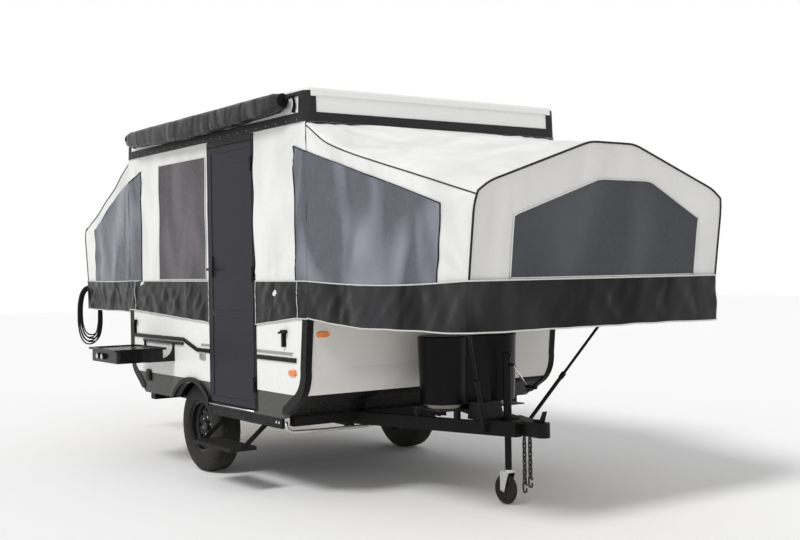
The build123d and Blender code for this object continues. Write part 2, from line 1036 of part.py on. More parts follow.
# Jack: outer tube on the coupler plate, with its cap and crank
crank_height = jack_top - 62
with BuildPart() as jack_tube:
    with BuildSketch(level(rail_bottom + 6)):
        with Locations((jack_ahead, 0)):
            Circle(jack_outer_radius)
    extrude(amount=jack_top - rail_bottom - 6)
    with BuildSketch(level(plate_top)):
        with Locations((jack_ahead, 0)):
            RectangleRounded(120, 120, 20)
    extrude(amount=8)
    with BuildSketch(level(jack_top - 16)):
        with Locations((jack_ahead, 0)):
            Circle(jack_outer_radius + 5)
    extrude(amount=34)
    fillet(jack_tube.faces().sort_by(Axis.Z)[-1].edges(), radius=9)
    with BuildSketch(level(rail_bottom + 5)):
        with Locations((jack_ahead, 0)):
            Circle(jack_outer_radius - jack_outer_wall)
    extrude(amount=jack_top - 40 - rail_bottom - 5, mode=Mode.SUBTRACT)
    tube_between((jack_ahead + 24, 0, crank_height), (jack_ahead + 62, 0, crank_height), 9)
    tube_between(
        (jack_ahead + 56, 8, crank_height + 6),
        (jack_ahead + 56, 120, crank_height - 152),
        6,
    )
    tube_between(
        (jack_ahead + 50, 116, crank_height - 150),
        (jack_ahead + 148, 116, crank_height - 150),
        6,
    )
    tube_between(
        (jack_ahead + 64, 116, crank_height - 150),
        (jack_ahead + 152, 116, crank_height - 150),
        13,
    )
finish(jack_tube, "jack_tube")

# Jack leg: the inner tube that the crank raises
with BuildPart() as jack_leg:
    with BuildSketch(level(fork_top + 6)):
        with Locations((jack_ahead, 0)):
            Circle(jack_leg_radius)
    extrude(amount=jack_leg_top - fork_top - 6)
finish(jack_leg, "jack_leg")

# Castor fork: a collar under the leg and two plates that trail back to the wheel
caster_ahead = jack_ahead - caster_trail
fork_half = caster_width / 2 + fork_gap
with BuildPart() as caster_fork:
    with BuildSketch(level(fork_top - 12)):
        with Locations((jack_ahead, 0)):
            Circle(jack_leg_radius + 8)
    extrude(amount=12 + 6 - seat_gap)
    block(
        jack_ahead - 52,
        jack_ahead + 34,
        -fork_half - fork_plate,
        fork_half + fork_plate,
        fork_top - 12,
        fork_top - 6,
    )
    for side in (-1, 1):
        with BuildSketch(side_plane(side * fork_half)):
            with BuildLine():
                Polyline(
                    (jack_ahead + 34, fork_top - 6),
                    (jack_ahead - 52, fork_top - 6),
                    (caster_ahead - 22, caster_centre_height - 8),
                    (caster_ahead + 16, caster_centre_height - 18),
                    close=True,
                )
            make_face()
        extrude(amount=-side * fork_plate)
    tube_between(
        (caster_ahead, -fork_half - fork_plate - 6, caster_centre_height),
        (caster_ahead, fork_half + fork_plate + 6, caster_centre_height),
        7,
    )
finish(caster_fork, "caster_fork")

with BuildPart() as caster_wheel:
    caster_centre = spot(caster_ahead, 0, caster_centre_height)
    with BuildSketch(Plane(origin=caster_centre, x_dir=(0, 1, 0), z_dir=(1, 0, 0))):
        with BuildLine():
            half = caster_width / 2
            Polyline(
                (-half, 7.4),
                (-half, 26),
                (-10, 34),
                (-10, 66),
                (-half + 2, 74),
                (-half + 2, caster_radius - 12),
            )
            ThreePointArc(
                (-half + 2, caster_radius - 12), (0, caster_radius), (half - 2, caster_radius - 12)
            )
            Polyline(
                (half - 2, caster_radius - 12),
                (half - 2, 74),
                (10, 66),
                (10, 34),
                (half, 26),
                (half, 7.4),
                (-half, 7.4),
            )
        make_face()
    revolve(axis=Axis(caster_centre, (0, 1, 0)))
finish(caster_wheel, "caster_wheel")


# Safety chains: two hanging strands of links, every second link turned, and their end hooks
link_bar = 9
link_thickness = 8
link_length = 46
link_width = 29
link_pitch = link_length - 2 * link_bar - seat_gap
chain_top = rail_bottom - 34
chain_places = (
    # ahead, across, number of links
    (2404, -24, 10),
    (2404, 24, 9),
)


def link_at(ahead, across, height, turned):
    """One chain link hanging upright."""
    x_dir = (0, 1, 0) if turned else (1, 0, 0)
    z_dir = (1, 0, 0) if turned else (0, -1, 0)
    plane = Plane(origin=spot(ahead, across, height), x_dir=x_dir, z_dir=z_dir)
    with BuildSketch(plane) as link:
        SlotOverall(link_length, link_width, rotation=90)
        SlotOverall(
            link_length - 2 * link_bar,
            link_width - 2 * link_bar,
            rotation=90,
            mode=Mode.SUBTRACT,
        )
    extrude(link.sketch, amount=link_thickness / 2, both=True)


with BuildPart() as safety_chains:
    for ahead, across, count in chain_places:
        for number in range(count):
            link_at(ahead, across, chain_top - number * link_pitch, number % 2 == 1)
        shackle_low = chain_top + link_length / 2 - link_bar
        block(ahead - 12, ahead + 12, across - 4, across + 4, shackle_low, coupler_bottom)
        hook_height = chain_top - count * link_pitch - 14
        with BuildSketch(side_plane(across)) as hook:
            with Locations((ahead, hook_height)):
                SlotOverall(78, 42, rotation=90)
                SlotOverall(58, 20, rotation=90, mode=Mode.SUBTRACT)
            rect(ahead + 4, hook_height - 4, ahead + 30, hook_height + 12, mode=Mode.SUBTRACT)
        extrude(hook.sketch, amount=link_thickness / 2, both=True)
finish(safety_chains, "safety_chains")

# Gas bottles with foot rings on a raised tray, and the moulded cover over both
with BuildPart() as gas_bottles:
    block(
        bottle_ahead - bottle_radius - 14,
        bottle_ahead + bottle_radius + 14,
        -bottle_spread - bottle_radius,
        bottle_spread + bottle_radius,
        tray_height,
        tray_height + tray_thickness,
    )
    for side in (-1, 1):
        for place in (bottle_ahead - bottle_radius, bottle_ahead + bottle_radius):
            across = side * (tongue_outer(place) - tongue_skew / 2)
            block(place - 16, place + 16, across - 18, across + 18, box_bottom, tray_height)
        with BuildSketch(level(tray_height + tray_thickness)):
            with Locations((bottle_ahead, side * bottle_spread)):
                Circle(bottle_radius - 42)
                Circle(bottle_radius - 50, mode=Mode.SUBTRACT)
        extrude(amount=foot_ring)
        with BuildSketch(level(tray_height + tray_thickness + foot_ring)):
            with Locations((bottle_ahead, side * bottle_spread)):
                Circle(bottle_radius - 8)
        extrude(amount=bottle_height)
        with BuildSketch(level(tray_height + tray_thickness + foot_ring + bottle_height)):
            with Locations((bottle_ahead, side * bottle_spread)):
                Circle(bottle_radius - 8)
        extrude(amount=bottle_shoulder, taper=50)
        with BuildSketch(
            level(tray_height + tray_thickness + foot_ring + bottle_height + bottle_shoulder)
        ):
            with Locations((bottle_ahead, side * bottle_spread)):
                Circle(30)
        extrude(amount=50)
finish(gas_bottles, "gas_bottles")


with BuildPart() as gas_cover:
    for grow, top, mode in ((0, cover_top, Mode.ADD), (-cover_wall, cover_top - 8, Mode.SUBTRACT)):
        sections = []
        for height, radius in ((cover_bottom, cover_radius_low), (top, cover_radius_high)):
            for side in (-1, 1):
                with BuildSketch(level(height)) as lobe:
                    with Locations((bottle_ahead, side * bottle_spread)):
                        Circle(radius + grow)
                sections.append(lobe.sketch)
        loft([sections[0], sections[2]], ruled=True, mode=mode)
        loft([sections[1], sections[3]], ruled=True, mode=mode)
        half = 118 + grow
        block(
            bottle_ahead - half,
            bottle_ahead + half,
            -bottle_spread,
            bottle_spread,
            cover_bottom,
            top,
            mode=mode,
        )
    fillet(gas_cover.faces().sort_by(Axis.Z)[-1].edges(), radius=10)
finish(gas_cover, "gas_cover")

# Battery box on the A-frame, ahead of the gas bottles
battery_ahead = 2035
with BuildPart() as battery_box:
    with BuildSketch(level(box_bottom)):
        with Locations((battery_ahead, -40)):
            RectangleRounded(120, 230, 14)
    extrude(amount=108, taper=9)
    with BuildSketch(level(box_bottom + 96)):
        with Locations((battery_ahead, -40)):
            RectangleRounded(98, 206, 14)
    extrude(amount=16)
finish(battery_box, "battery_box")

# Support poles under the bunks: a foot on the frame, two telescoping tubes and a clip
pole_top_height = board_bottom - running_gap - 1
pole_rows = (
    # foot ahead, foot across, top ahead, top across, foot height
    (2194, 163, 2547, 590, 520),
    (-1388, 640, -2240, 690, 548),
)
pole_split = 0.42
pole_low_radius = 13
pole_high_radius = 9.5
with BuildPart() as support_poles:
    for foot_ahead, foot_across, top_ahead, top_across, foot_height in pole_rows:
        for side in (-1, 1):
            if foot_ahead > 0:
                face = tongue_outer(foot_ahead)
                block(
                    foot_ahead - 26,
                    foot_ahead + 14,
                    min(side * (face + 9), side * (face + 38)),
                    max(side * (face + 9), side * (face + 38)),
                    foot_height - 30,
                    foot_height,
                )
                foot = (foot_ahead, side * (face + 22), foot_height - 4)
            else:
                block(
                    foot_ahead - 22,
                    foot_ahead + 22,
                    side * foot_across - 22,
                    side * foot_across + 22,
                    foot_height + 12,
                    foot_height + 24,
                )
                foot = (foot_ahead, side * foot_across, foot_height + 23)
            top = (top_ahead, side * top_across, pole_top_height - 8)
            split = tuple(a + pole_split * (b - a) for a, b in zip(foot, top))
            tube_between(foot, split, pole_low_radius)
            tube_between(split, top, pole_high_radius)
            clip = tuple(a + (pole_split + 0.05) * (b - a) for a, b in zip(foot, top))
            tube_between(split, clip, pole_low_radius + 4)
            block(
                top_ahead - 24,
                top_ahead + 24,
                side * top_across - 24,
                side * top_across + 24,
                pole_top_height - 14,
                pole_top_height,
            )
finish(support_poles, "support_poles")

# Griddle: a cooking box with two knobs, hung outside on a pair of cut-away brackets
griddle_rear = -1180
griddle_front = -612
griddle_out = -1568
griddle_in = -1180
griddle_low = 850
griddle_high = 945
griddle_sheet = 5
with BuildPart() as griddle:
    with BuildSketch(level(griddle_low)):
        rect(griddle_rear, griddle_out, griddle_front, griddle_in)
    extrude(amount=griddle_high - griddle_low)
    fillet(griddle.edges().filter_by(Axis.Z), radius=24)
    with BuildSketch(level(griddle_high)):
        with Locations(((griddle_rear + griddle_front) / 2, (griddle_out + griddle_in) / 2)):
            RectangleRounded(
                griddle_front - griddle_rear + 44, griddle_in - griddle_out + 44, 26
            )
    extrude(amount=16)
    with BuildSketch(level(griddle_high + 16)):
        with Locations(((griddle_rear + griddle_front) / 2, (griddle_out + griddle_in) / 2)):
            RectangleRounded(
                griddle_front - griddle_rear - 16, griddle_in - griddle_out - 16, 18
            )
    extrude(amount=-8, mode=Mode.SUBTRACT)
    with BuildSketch(side_plane(griddle_out)):
        with Locations((-990, 898), (-890, 898)):
            Circle(25)
    extrude(amount=24, taper=6)
finish(griddle, "griddle")

bracket_low = 848
bracket_high = 992
with BuildPart() as griddle_bracket:
    for place in (griddle_rear - seat_gap, griddle_front + griddle_sheet + seat_gap):
        with BuildSketch(end_plane(place)):
            with BuildLine():
                Polyline(
                    (-box_half_width, bracket_high),
                    (-box_half_width, bracket_low),
                    (griddle_in - 150, bracket_low),
                    (griddle_in - 150, bracket_low + 30),
                    (griddle_in, bracket_low + 30),
                )
                ThreePointArc(
                    (griddle_in, bracket_low + 30),
                    (-box_half_width - 42, bracket_low + 62),
                    (-box_half_width - 22, bracket_high),
                )
                Line((-box_half_width - 22, bracket_high), (-box_half_width, bracket_high))
            make_face()
        extrude(amount=-griddle_sheet)
    block(
        griddle_rear - 40,
        -430,
        -box_half_width - 14,
        -box_half_width,
        bracket_high - 6,
        bracket_high + 14,
    )
finish(griddle_bracket, "griddle_bracket")

# Lamps: amber markers on the sides and nose, red lamps on the tail
marker_height = 875
nose_marker_height = 1136
nose_share = (nose_marker_height - nose_high[1]) / (box_top - nose_high[1])
nose_marker_ahead = nose_high[0] + nose_share * (nose_top - nose_high[0])
nose_lamp_plane = Plane(
    origin=spot(nose_marker_ahead, -971, nose_marker_height),
    x_dir=(0, 1, 0),
    z_dir=(box_top - nose_high[1], 0, nose_high[0] - nose_top),
)
with BuildPart() as marker_lamps:
    for place in (1302, -1360):
        with BuildSketch(side_plane(-box_half_width)):
            with Locations((place, marker_height)):
                SlotOverall(98, 44)
        extrude(amount=14, taper=18)
    with BuildSketch(nose_lamp_plane):
        SlotOverall(98, 44)
    extrude(amount=14, taper=18)
    mirror(about=Plane.XZ)
finish(marker_lamps, "marker_lamps")

tail_slope = (tail_high[1] - box_top, 0, -tail_high[0] - box_half_length)
tail_lamp_height = 960
tail_lamp_share = (tail_lamp_height - tail_high[1]) / (box_top - tail_high[1])
tail_lamp_ahead = tail_high[0] - tail_lamp_share * (box_half_length + tail_high[0])
tail_lamp_plane = Plane(
    origin=spot(tail_lamp_ahead, 0, tail_lamp_height), x_dir=(0, -1, 0), z_dir=tail_slope
)
with BuildPart() as tail_lamps:
    with BuildSketch(tail_lamp_plane):
        with Locations((930, 0), (-930, 0)):
            RectangleRounded(96, 190, 20)
    extrude(amount=22, taper=8)
    with BuildSketch(tail_lamp_plane):
        with Locations((560, -10)):
            RectangleRounded(320, 168, 10)
    extrude(amount=6)
finish(tail_lamps, "tail_lamps")

# Entry step: brackets under the sill, a pair of arms that swing under, and the tread
step_pivot = (-985, 505)
step_arm_reach = (-210, -175)
step_rear = 167
step_front = 777
tread_depth = 210
tread_thickness = 26
tread_low = 300
arm_width = 34
arm_sheet = 8
pin_radius = 8
tread_pivot = (step_pivot[0] + step_arm_reach[0], step_pivot[1] + step_arm_reach[1])
arm_angle = degrees(atan2(step_arm_reach[1], step_arm_reach[0]))
arm_length = hypot(*step_arm_reach)
with BuildPart() as step_bracket:
    for place in (step_rear - 20, step_front + 12):
        with BuildSketch(end_plane(place)):
            rect(step_pivot[0] - 24, step_pivot[1] - 26, step_pivot[0] + 24, box_bottom)
        extrude(amount=arm_sheet)
    block(
        step_rear - 20,
        step_front + 20,
        step_pivot[0] + 30,
        -rail_out,
        box_bottom - 40,
        box_bottom,
    )
    for place in (step_rear - 20, step_front + 12):
        block(
            place,
            place + arm_sheet,
            step_pivot[0] + 20,
            step_pivot[0] + 34,
            box_bottom - 40,
            box_bottom,
        )
finish(step_bracket, "step_bracket")

with BuildPart() as step_arms:
    middle = (
        (step_pivot[0] + tread_pivot[0]) / 2,
        (step_pivot[1] + tread_pivot[1]) / 2,
    )
    for place in (step_rear - 6, step_front - 2):
        with BuildSketch(end_plane(place)):
            with Locations(Location((middle[0], middle[1], 0), (0, 0, arm_angle))):
                SlotOverall(arm_length + arm_width, arm_width)
        extrude(amount=arm_sheet)
    tube_between(
        (step_rear - 11.6, step_pivot[0], step_pivot[1]),
        (step_front + 11.6, step_pivot[0], step_pivot[1]),
        pin_radius,
    )
finish(step_arms, "step_arms")

with BuildPart() as step_tread:
    tread_rear = step_rear + 3
    tread_front = step_front - 3
    with BuildSketch(level(tread_low)):
        with Locations(((tread_rear + tread_front) / 2, tread_pivot[0])):
            RectangleRounded(tread_front - tread_rear, tread_depth, 12)
    extrude(amount=tread_thickness)
    for place in (tread_rear, tread_front - 6):
        block(
            place,
            place + 6,
            tread_pivot[0] - 22,
            tread_pivot[0] + 22,
            tread_low,
            tread_pivot[1] + 16,
        )
finish(step_tread, "step_tread")

# Stabiliser legs, folded up level under the chassis near its corners
stabiliser_rows = {
    # name: pivot ahead, pivot across, sign of the way the leg points
    "stabiliser_front_kerb": (930, -420, -1),
    "stabiliser_front_road": (930, 420, -1),
    "stabiliser_rear_kerb": (-1180, -600, 1),
    "stabiliser_rear_road": (-1180, 600, 1),
}
stabiliser_height = 448
stabiliser_length = 470
stabiliser_wide = 44
stabiliser_deep = 36
with BuildPart() as stabiliser_hangers:
    for ahead, across, sign in stabiliser_rows.values():
        for side in (-1, 1):
            near = across + side * (stabiliser_wide / 2 + 1)
            far = across + side * (stabiliser_wide / 2 + 7)
            block(
                ahead - 26,
                ahead + 26,
                min(near, far),
                max(near, far),
                stabiliser_height - 22,
                box_bottom - 6,
            )
        block(
            ahead - 26,
            ahead + 26,
            across - stabiliser_wide / 2 - 7,
            across + stabiliser_wide / 2 + 7,
            box_bottom - 6,
            box_bottom,
        )
finish(stabiliser_hangers, "stabiliser_hangers")


def stabiliser(ahead, across, sign):
    """A folded channel leg with its pivot pin and its foot plate."""
    end = ahead + sign * stabiliser_length
    with BuildPart() as leg:
        block(
            min(ahead - sign * 18, end),
            max(ahead - sign * 18, end),
            across - stabiliser_wide / 2,
            across + stabiliser_wide / 2,
            stabiliser_height - stabiliser_deep / 2,
            stabiliser_height + stabiliser_deep / 2,
        )
        block(
            min(ahead + sign * 30, end),
            max(ahead + sign * 30, end),
            across - stabiliser_wide / 2 + 4,
            across + stabiliser_wide / 2 - 4,
            stabiliser_height - stabiliser_deep / 2 + 4,
            stabiliser_height + stabiliser_deep / 2,
            mode=Mode.SUBTRACT,
        )
        block(
            min(end, end + sign * 8),
            max(end, end + sign * 8),
            across - 60,
            across + 60,
            stabiliser_height - 44,
            stabiliser_height + 20,
        )
        tube_between(
            (ahead, across - stabiliser_wide / 2 - 0.6, stabiliser_height),
            (ahead, across + stabiliser_wide / 2 + 0.6, stabiliser_height),
            8,
        )
    return leg


for name, row in stabiliser_rows.items():
    finish(stabiliser(*row), name)

# Power cord: a hank of loops on a hook at the tail end of the rear bunk
hank_across = -985
hank_top = 1452
hank_bottom = 884
hank_width = 250
hank_rope = 46
hook_plate = 18
hook_face = rear_reach + hook_plate
hank_ahead = -(hook_face + hank_rope / 2 + 3)
hook_height = hank_top - hank_rope - 1.3
with BuildPart() as cord_hook:
    block(
        -hook_face,
        -(rear_reach + seat_gap),
        hank_across - 30,
        hank_across + 30,
        band_bottom + 9,
        hank_top + 26,
    )
    block(
        hank_ahead - hank_rope / 2 - 12,
        -hook_face,
        hank_across - 12,
        hank_across + 12,
        hook_height - 7,
        hook_height,
    )
    block(
        hank_ahead - hank_rope / 2 - 12,
        hank_ahead - hank_rope / 2 - 5,
        hank_across - 12,
        hank_across + 12,
        hook_height,
        hook_height + 20,
    )
finish(cord_hook, "cord_hook")

with BuildPart() as power_cord:
    with BuildSketch(end_plane(hank_ahead - hank_rope / 2)):
        with Locations((hank_across, (hank_top + hank_bottom) / 2)):
            SlotOverall(hank_top - hank_bottom, hank_width, rotation=90)
            SlotOverall(
                hank_top - hank_bottom - 2 * hank_rope,
                hank_width - 2 * hank_rope,
                rotation=90,
                mode=Mode.SUBTRACT,
            )
    extrude(amount=hank_rope)
finish(power_cord, "power_cord")
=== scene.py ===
# %% [markdown]
# A folding camper trailer, set up for use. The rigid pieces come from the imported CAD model, which is the frame
# that everything else is fitted to. This lesson adds what CAD leaves plain: tent cloth, window screens, the
# awning bag, tyre tread, a hank of cable, small hardware and a finish for every piece.
# Points could be typed in metres from the hitch ball, but a trailer is easier to measure in millimetres from
# the middle of its box and from the ground, so one small function turns those numbers into the shared frame.

# %% Load the frame
import bpy
import math
from collections import namedtuple
from mathutils import Matrix, Vector, noise


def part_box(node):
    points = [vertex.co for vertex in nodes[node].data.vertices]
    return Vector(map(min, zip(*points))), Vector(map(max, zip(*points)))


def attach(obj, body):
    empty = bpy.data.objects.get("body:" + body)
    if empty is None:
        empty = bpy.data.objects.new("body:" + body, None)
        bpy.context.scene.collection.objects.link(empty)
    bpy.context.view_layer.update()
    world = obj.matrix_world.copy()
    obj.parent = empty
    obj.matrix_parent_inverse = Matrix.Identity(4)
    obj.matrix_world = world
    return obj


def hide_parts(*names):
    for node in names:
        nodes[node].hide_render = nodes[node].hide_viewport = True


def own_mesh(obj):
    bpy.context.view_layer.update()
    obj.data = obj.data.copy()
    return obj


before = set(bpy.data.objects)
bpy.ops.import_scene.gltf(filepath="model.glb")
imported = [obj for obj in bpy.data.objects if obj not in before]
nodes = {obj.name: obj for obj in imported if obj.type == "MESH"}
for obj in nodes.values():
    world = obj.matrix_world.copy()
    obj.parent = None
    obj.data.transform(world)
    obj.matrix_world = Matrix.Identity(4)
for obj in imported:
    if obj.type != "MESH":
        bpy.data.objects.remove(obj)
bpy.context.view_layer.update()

BOX_MIDDLE, GROUND = -2545.0, -490.0


def at(ahead, across, height):
    """A place in millimetres from the box's middle and the ground, as a point of the shared frame."""
    return Vector(((ahead + BOX_MIDDLE) / 1000.0, across / 1000.0, (height + GROUND) / 1000.0))


def show(thing):
    bpy.context.scene.collection.objects.link(thing)
    return thing


# %% [markdown]
# The camera comes first, because the likeness is judged through it. Its place was fitted to known lengths of
# the box, so the matrix is written down here instead of being aimed by eye. The lens is a mild telephoto, and
# the camera leans by just under a degree.

# %% Camera
view_line = Vector((-0.8193, 0.5733, -0.00175)).normalized()
level_right = Vector((0.5736, 0.8192, 0.0)).normalized()
level_up = level_right.cross(view_line).normalized()
lean = math.radians(-0.9)
camera_right = level_right * math.cos(lean) + level_up * math.sin(lean)
camera_up = level_up * math.cos(lean) - level_right * math.sin(lean)
camera_data = bpy.data.cameras.new("photo_camera")
camera_data.sensor_width = 36.0
camera_data.lens = 52.2
camera = show(bpy.data.objects.new("photo_camera", camera_data))
turn = Matrix((camera_right, camera_up, -view_line)).transposed().to_4x4()
camera.matrix_world = Matrix.Translation((5.5187, -4.9402, 1.078)) @ turn
bpy.context.scene.camera = camera

# %% [markdown]
# The sky, the paints and the cloths are all made of shader nodes. A few helpers keep them short. One adds a
# node and fills its inputs, each with a plain value or with a link, and others do a step of arithmetic or mix
# two colours.

# %% Node helpers
FLOAT, COLOUR = "NodeSocketFloat", "NodeSocketColor"


def fill(tree, made, inputs):
    """Give a node's inputs their values. A socket is linked, anything else is set."""
    for label, value in inputs.items():
        if isinstance(value, bpy.types.NodeSocket):
            tree.links.new(value, made.inputs[label])
        else:
            made.inputs[label].default_value = value


def node(tree, kind, inputs, **settings):
    """A new shader node with its settings and inputs. Returns its outputs."""
    made = tree.nodes.new("ShaderNode" + kind)
    for label, value in settings.items():
        setattr(made, label, value)
    fill(tree, made, inputs)
    return made.outputs


def arithmetic(tree, operation, first, second=0.0):
    """One arithmetic step. Each of the two values is a number or a socket."""
    return node(tree, "Math", {0: first, 1: second}, operation=operation)[0]


def product(tree, first, *others):
    """The product of numbers and sockets, from left to right."""
    for other in others:
        first = arithmetic(tree, "MULTIPLY", first, other)
    return first


def two_colours(tree, share, first, second):
    """A mix of two colours, the second one by its share."""
    return node(tree, "Mix", {0: share, 6: first, 7: second}, data_type="RGBA")[2]


# %% [markdown]
# A product photograph has light from everywhere. A white world does most of it, one wide sun gives the cloth
# enough direction to show its folds, and a weak second sun lifts the end that looks towards the hitch. The
# world is white to the camera and in reflections, but only half as bright in the light that it casts.

# %% Light and floor
bpy.context.scene.view_settings.view_transform = "Standard"
world = bpy.data.worlds.new("studio")
bpy.context.scene.world = world
world.use_nodes = True
sky = world.node_tree
sky.nodes.clear()
rays = node(sky, "LightPath", {})
seen = arithmetic(sky, "MAXIMUM", rays["Is Camera Ray"], rays["Is Glossy Ray"])
level = node(sky, "MapRange", {"Value": seen, "To Min": 0.51, "To Max": 1.0})["Result"]
backdrop = node(sky, "Background", {"Color": (1.0, 1.0, 1.0, 1.0), "Strength": level})["Background"]
node(sky, "OutputWorld", {"Surface": backdrop})

for name, strength, spread, tilt in (
    ("window_light", 1.7, 16.0, (42.0, 0.0, 15.0)),
    ("low_fill", 0.42, 60.0, (72.0, 0.0, 75.0)),
):
    lamp_data = bpy.data.lights.new(name, "SUN")
    lamp_data.energy = strength
    lamp_data.angle = math.radians(spread)
    lamp = show(bpy.data.objects.new(name, lamp_data))
    lamp.rotation_euler = [math.radians(value) for value in tilt]

floor_mesh = bpy.data.meshes.new("floor")
FLOOR_REACH, FLOOR_HEIGHT = 40.0, -0.4905
floor_corners = [(x * FLOOR_REACH, y * FLOOR_REACH, FLOOR_HEIGHT) for x, y in ((-1, -1), (1, -1), (1, 1), (-1, 1))]
floor_mesh.from_pydata(floor_corners, [], [(0, 1, 2, 3)])
floor = show(bpy.data.objects.new("floor", floor_mesh))
floor_paint = bpy.data.materials.new("floor_paint")
floor_paint.use_nodes = True
fill(floor_paint.node_tree, floor_paint.node_tree.nodes["Principled BSDF"], {
    "Base Color": (0.985, 0.985, 0.985, 1.0), "Roughness": 0.9,
})
floor_mesh.materials.append(floor_paint)

# %% [markdown]
# Real surfaces are never one flat colour. The same few effects return on every piece: a fine grain that
# breaks up the gloss, dust that rises from the road, threads in cloth and soft creases. Each is a node group
# with named sockets, built once and placed in each material with its own values.


# %% Group helpers
def open_group(name, inputs):
    """A new shader node group with float or colour inputs, and the sockets that carry them inside."""
    tree = bpy.data.node_groups.new(name, "ShaderNodeTree")
    for label, value in inputs.items():
        kind = FLOAT if isinstance(value, float) else COLOUR
        tree.interface.new_socket(label, in_out="INPUT", socket_type=kind).default_value = value
    return tree, tree.nodes.new("NodeGroupInput").outputs


def close_group(tree, results):
    """Give the group its outputs, each from a socket inside."""
    for label in results:
        kind = COLOUR if label == "Color" else FLOAT
        tree.interface.new_socket(label, in_out="OUTPUT", socket_type=kind)
    fill(tree, tree.nodes.new("NodeGroupOutput"), results)


def object_place(tree):
    return node(tree, "TexCoord", {})["Object"]


def object_axes(tree):
    return node(tree, "SeparateXYZ", {"Vector": object_place(tree)})


# %% Grain and dust groups
grain_group, given = open_group("fine_grain", {"Scale": 40.0, "Detail": 4.0})
speck = node(grain_group, "TexNoise", {
    "Vector": object_place(grain_group), "Scale": given["Scale"], "Detail": given["Detail"],
})["Fac"]
spread = node(grain_group, "MapRange", {"Value": speck, "From Min": 0.32, "From Max": 0.68})["Result"]
close_group(grain_group, {"Mask": spread, "Height": speck})

dust_group, given = open_group("road_dust", {
    "Clean": (0.5, 0.5, 0.5, 1.0), "Dust": (0.32, 0.29, 0.25, 1.0), "Low": -0.45, "High": 0.5, "Amount": 0.3,
})
rise = node(dust_group, "MapRange", {
    "Value": object_axes(dust_group)["Z"], "From Min": given["Low"], "From Max": given["High"],
    "To Min": 1.0, "To Max": 0.0,
})["Result"]
cloud = node(dust_group, "TexNoise", {"Vector": object_place(dust_group), "Scale": 5.0, "Detail": 6.0})["Fac"]
settled = product(dust_group, rise, cloud, given["Amount"])
dusted = two_colours(dust_group, settled, given["Clean"], given["Dust"])
close_group(dust_group, {"Color": dusted, "Mask": settled})

# %% [markdown]
# Some pieces are painted in two colours. The box is white above a dark skirt, so one group changes colour at a
# height. The roof's dark edge has a pale rim on top at its two ends only, which a mask of three limits gives.

# %% Two-colour paint groups
SKIRT_LINE = 0.237
line_group, given = open_group("paint_line", {
    "Upper": (0.8, 0.8, 0.8, 1.0), "Lower": (0.1, 0.1, 0.1, 1.0), "Height": SKIRT_LINE,
})
under = arithmetic(line_group, "LESS_THAN", object_axes(line_group)["Z"], given["Height"])
close_group(line_group, {"Color": two_colours(line_group, under, given["Upper"], given["Lower"])})

RIM_HEIGHT, RIM_FROM_MIDDLE, RIM_HALF_WIDTH = at(0.0, 0.0, 2705.0).z, 1.46, 1.05
rim_group, given = open_group("roof_end_paint", {"Dark": (0.03, 0.03, 0.03, 1.0), "Pale": (0.8, 0.8, 0.8, 1.0)})
axes = object_axes(rim_group)
from_middle = arithmetic(rim_group, "SUBTRACT", axes["X"], BOX_MIDDLE / 1000.0)
high_up = arithmetic(rim_group, "GREATER_THAN", axes["Z"], RIM_HEIGHT)
at_end = arithmetic(rim_group, "GREATER_THAN", arithmetic(rim_group, "ABSOLUTE", from_middle), RIM_FROM_MIDDLE)
inside = arithmetic(rim_group, "LESS_THAN", arithmetic(rim_group, "ABSOLUTE", axes["Y"]), RIM_HALF_WIDTH)
on_rim = product(rim_group, high_up, at_end, inside)
close_group(rim_group, {"Color": two_colours(rim_group, on_rim, given["Dark"], given["Pale"])})

# %% [markdown]
# Cloth could be wrinkled by hand in the mesh alone, but its finest folds are cheaper as shading. Threads are three
# crossed waves. Creases are stretched noise with a soft mask, and the same mask paints light and shade along the
# folds as a colour.

# %% Thread and crease groups
weave_group, given = open_group("cloth_threads", {"Threads": 60.0})
place, total = object_place(weave_group), 0.0
for direction in "XYZ":
    thread = node(weave_group, "TexWave", {"Vector": place, "Scale": given["Threads"]},
                  wave_type="BANDS", bands_direction=direction)["Fac"]
    total = arithmetic(weave_group, "ADD", product(weave_group, thread, 0.33), total)
close_group(weave_group, {"Height": total})

crease_group, given = open_group("soft_creases", {"Scale": 5.0, "Turn": 0.6})
stretch = node(crease_group, "Mapping", {
    "Vector": object_place(crease_group), "Rotation": (0.2, 0.55, 0.3), "Scale": (1.0, 1.0, 0.34),
})["Vector"]
fold = node(crease_group, "TexNoise", {
    "Vector": stretch, "Scale": given["Scale"], "Detail": 1.4, "Distortion": given["Turn"],
})["Fac"]
# The soft mask of the creases also says where painted shade and painted highlights go along the folds.
fold_light_mask = node(crease_group, "MapRange", {"Value": fold, "From Min": 0.44, "From Max": 0.68})["Result"]
close_group(crease_group, {"Height": fold, "Mask": fold_light_mask})
print("node groups:", len(bpy.data.node_groups))

# %% [markdown]
# Every material follows one recipe: two close colours mixed by the grain, dust over them, a roughness that follows
# the same grain, and a bump for what is too small to model. Cloth adds threads and creases to the bump, and along
# the creases it gets painted shade on pale cloth and painted highlights on dark cloth. Two kinds of piece are
# painted in two colours, split at a height or at the roof's ends. Only the numbers differ, so one function builds
# the materials from a table.


# %% Material recipe
def opaque(tint, amount=1.0):
    """The tint as a full colour, made darker by an amount below 1."""
    return tuple(value * amount for value in tint) + (1.0,)


FOLD_LIGHT_SHARE, THREAD_HEIGHT_SHARE = 0.85, 0.010


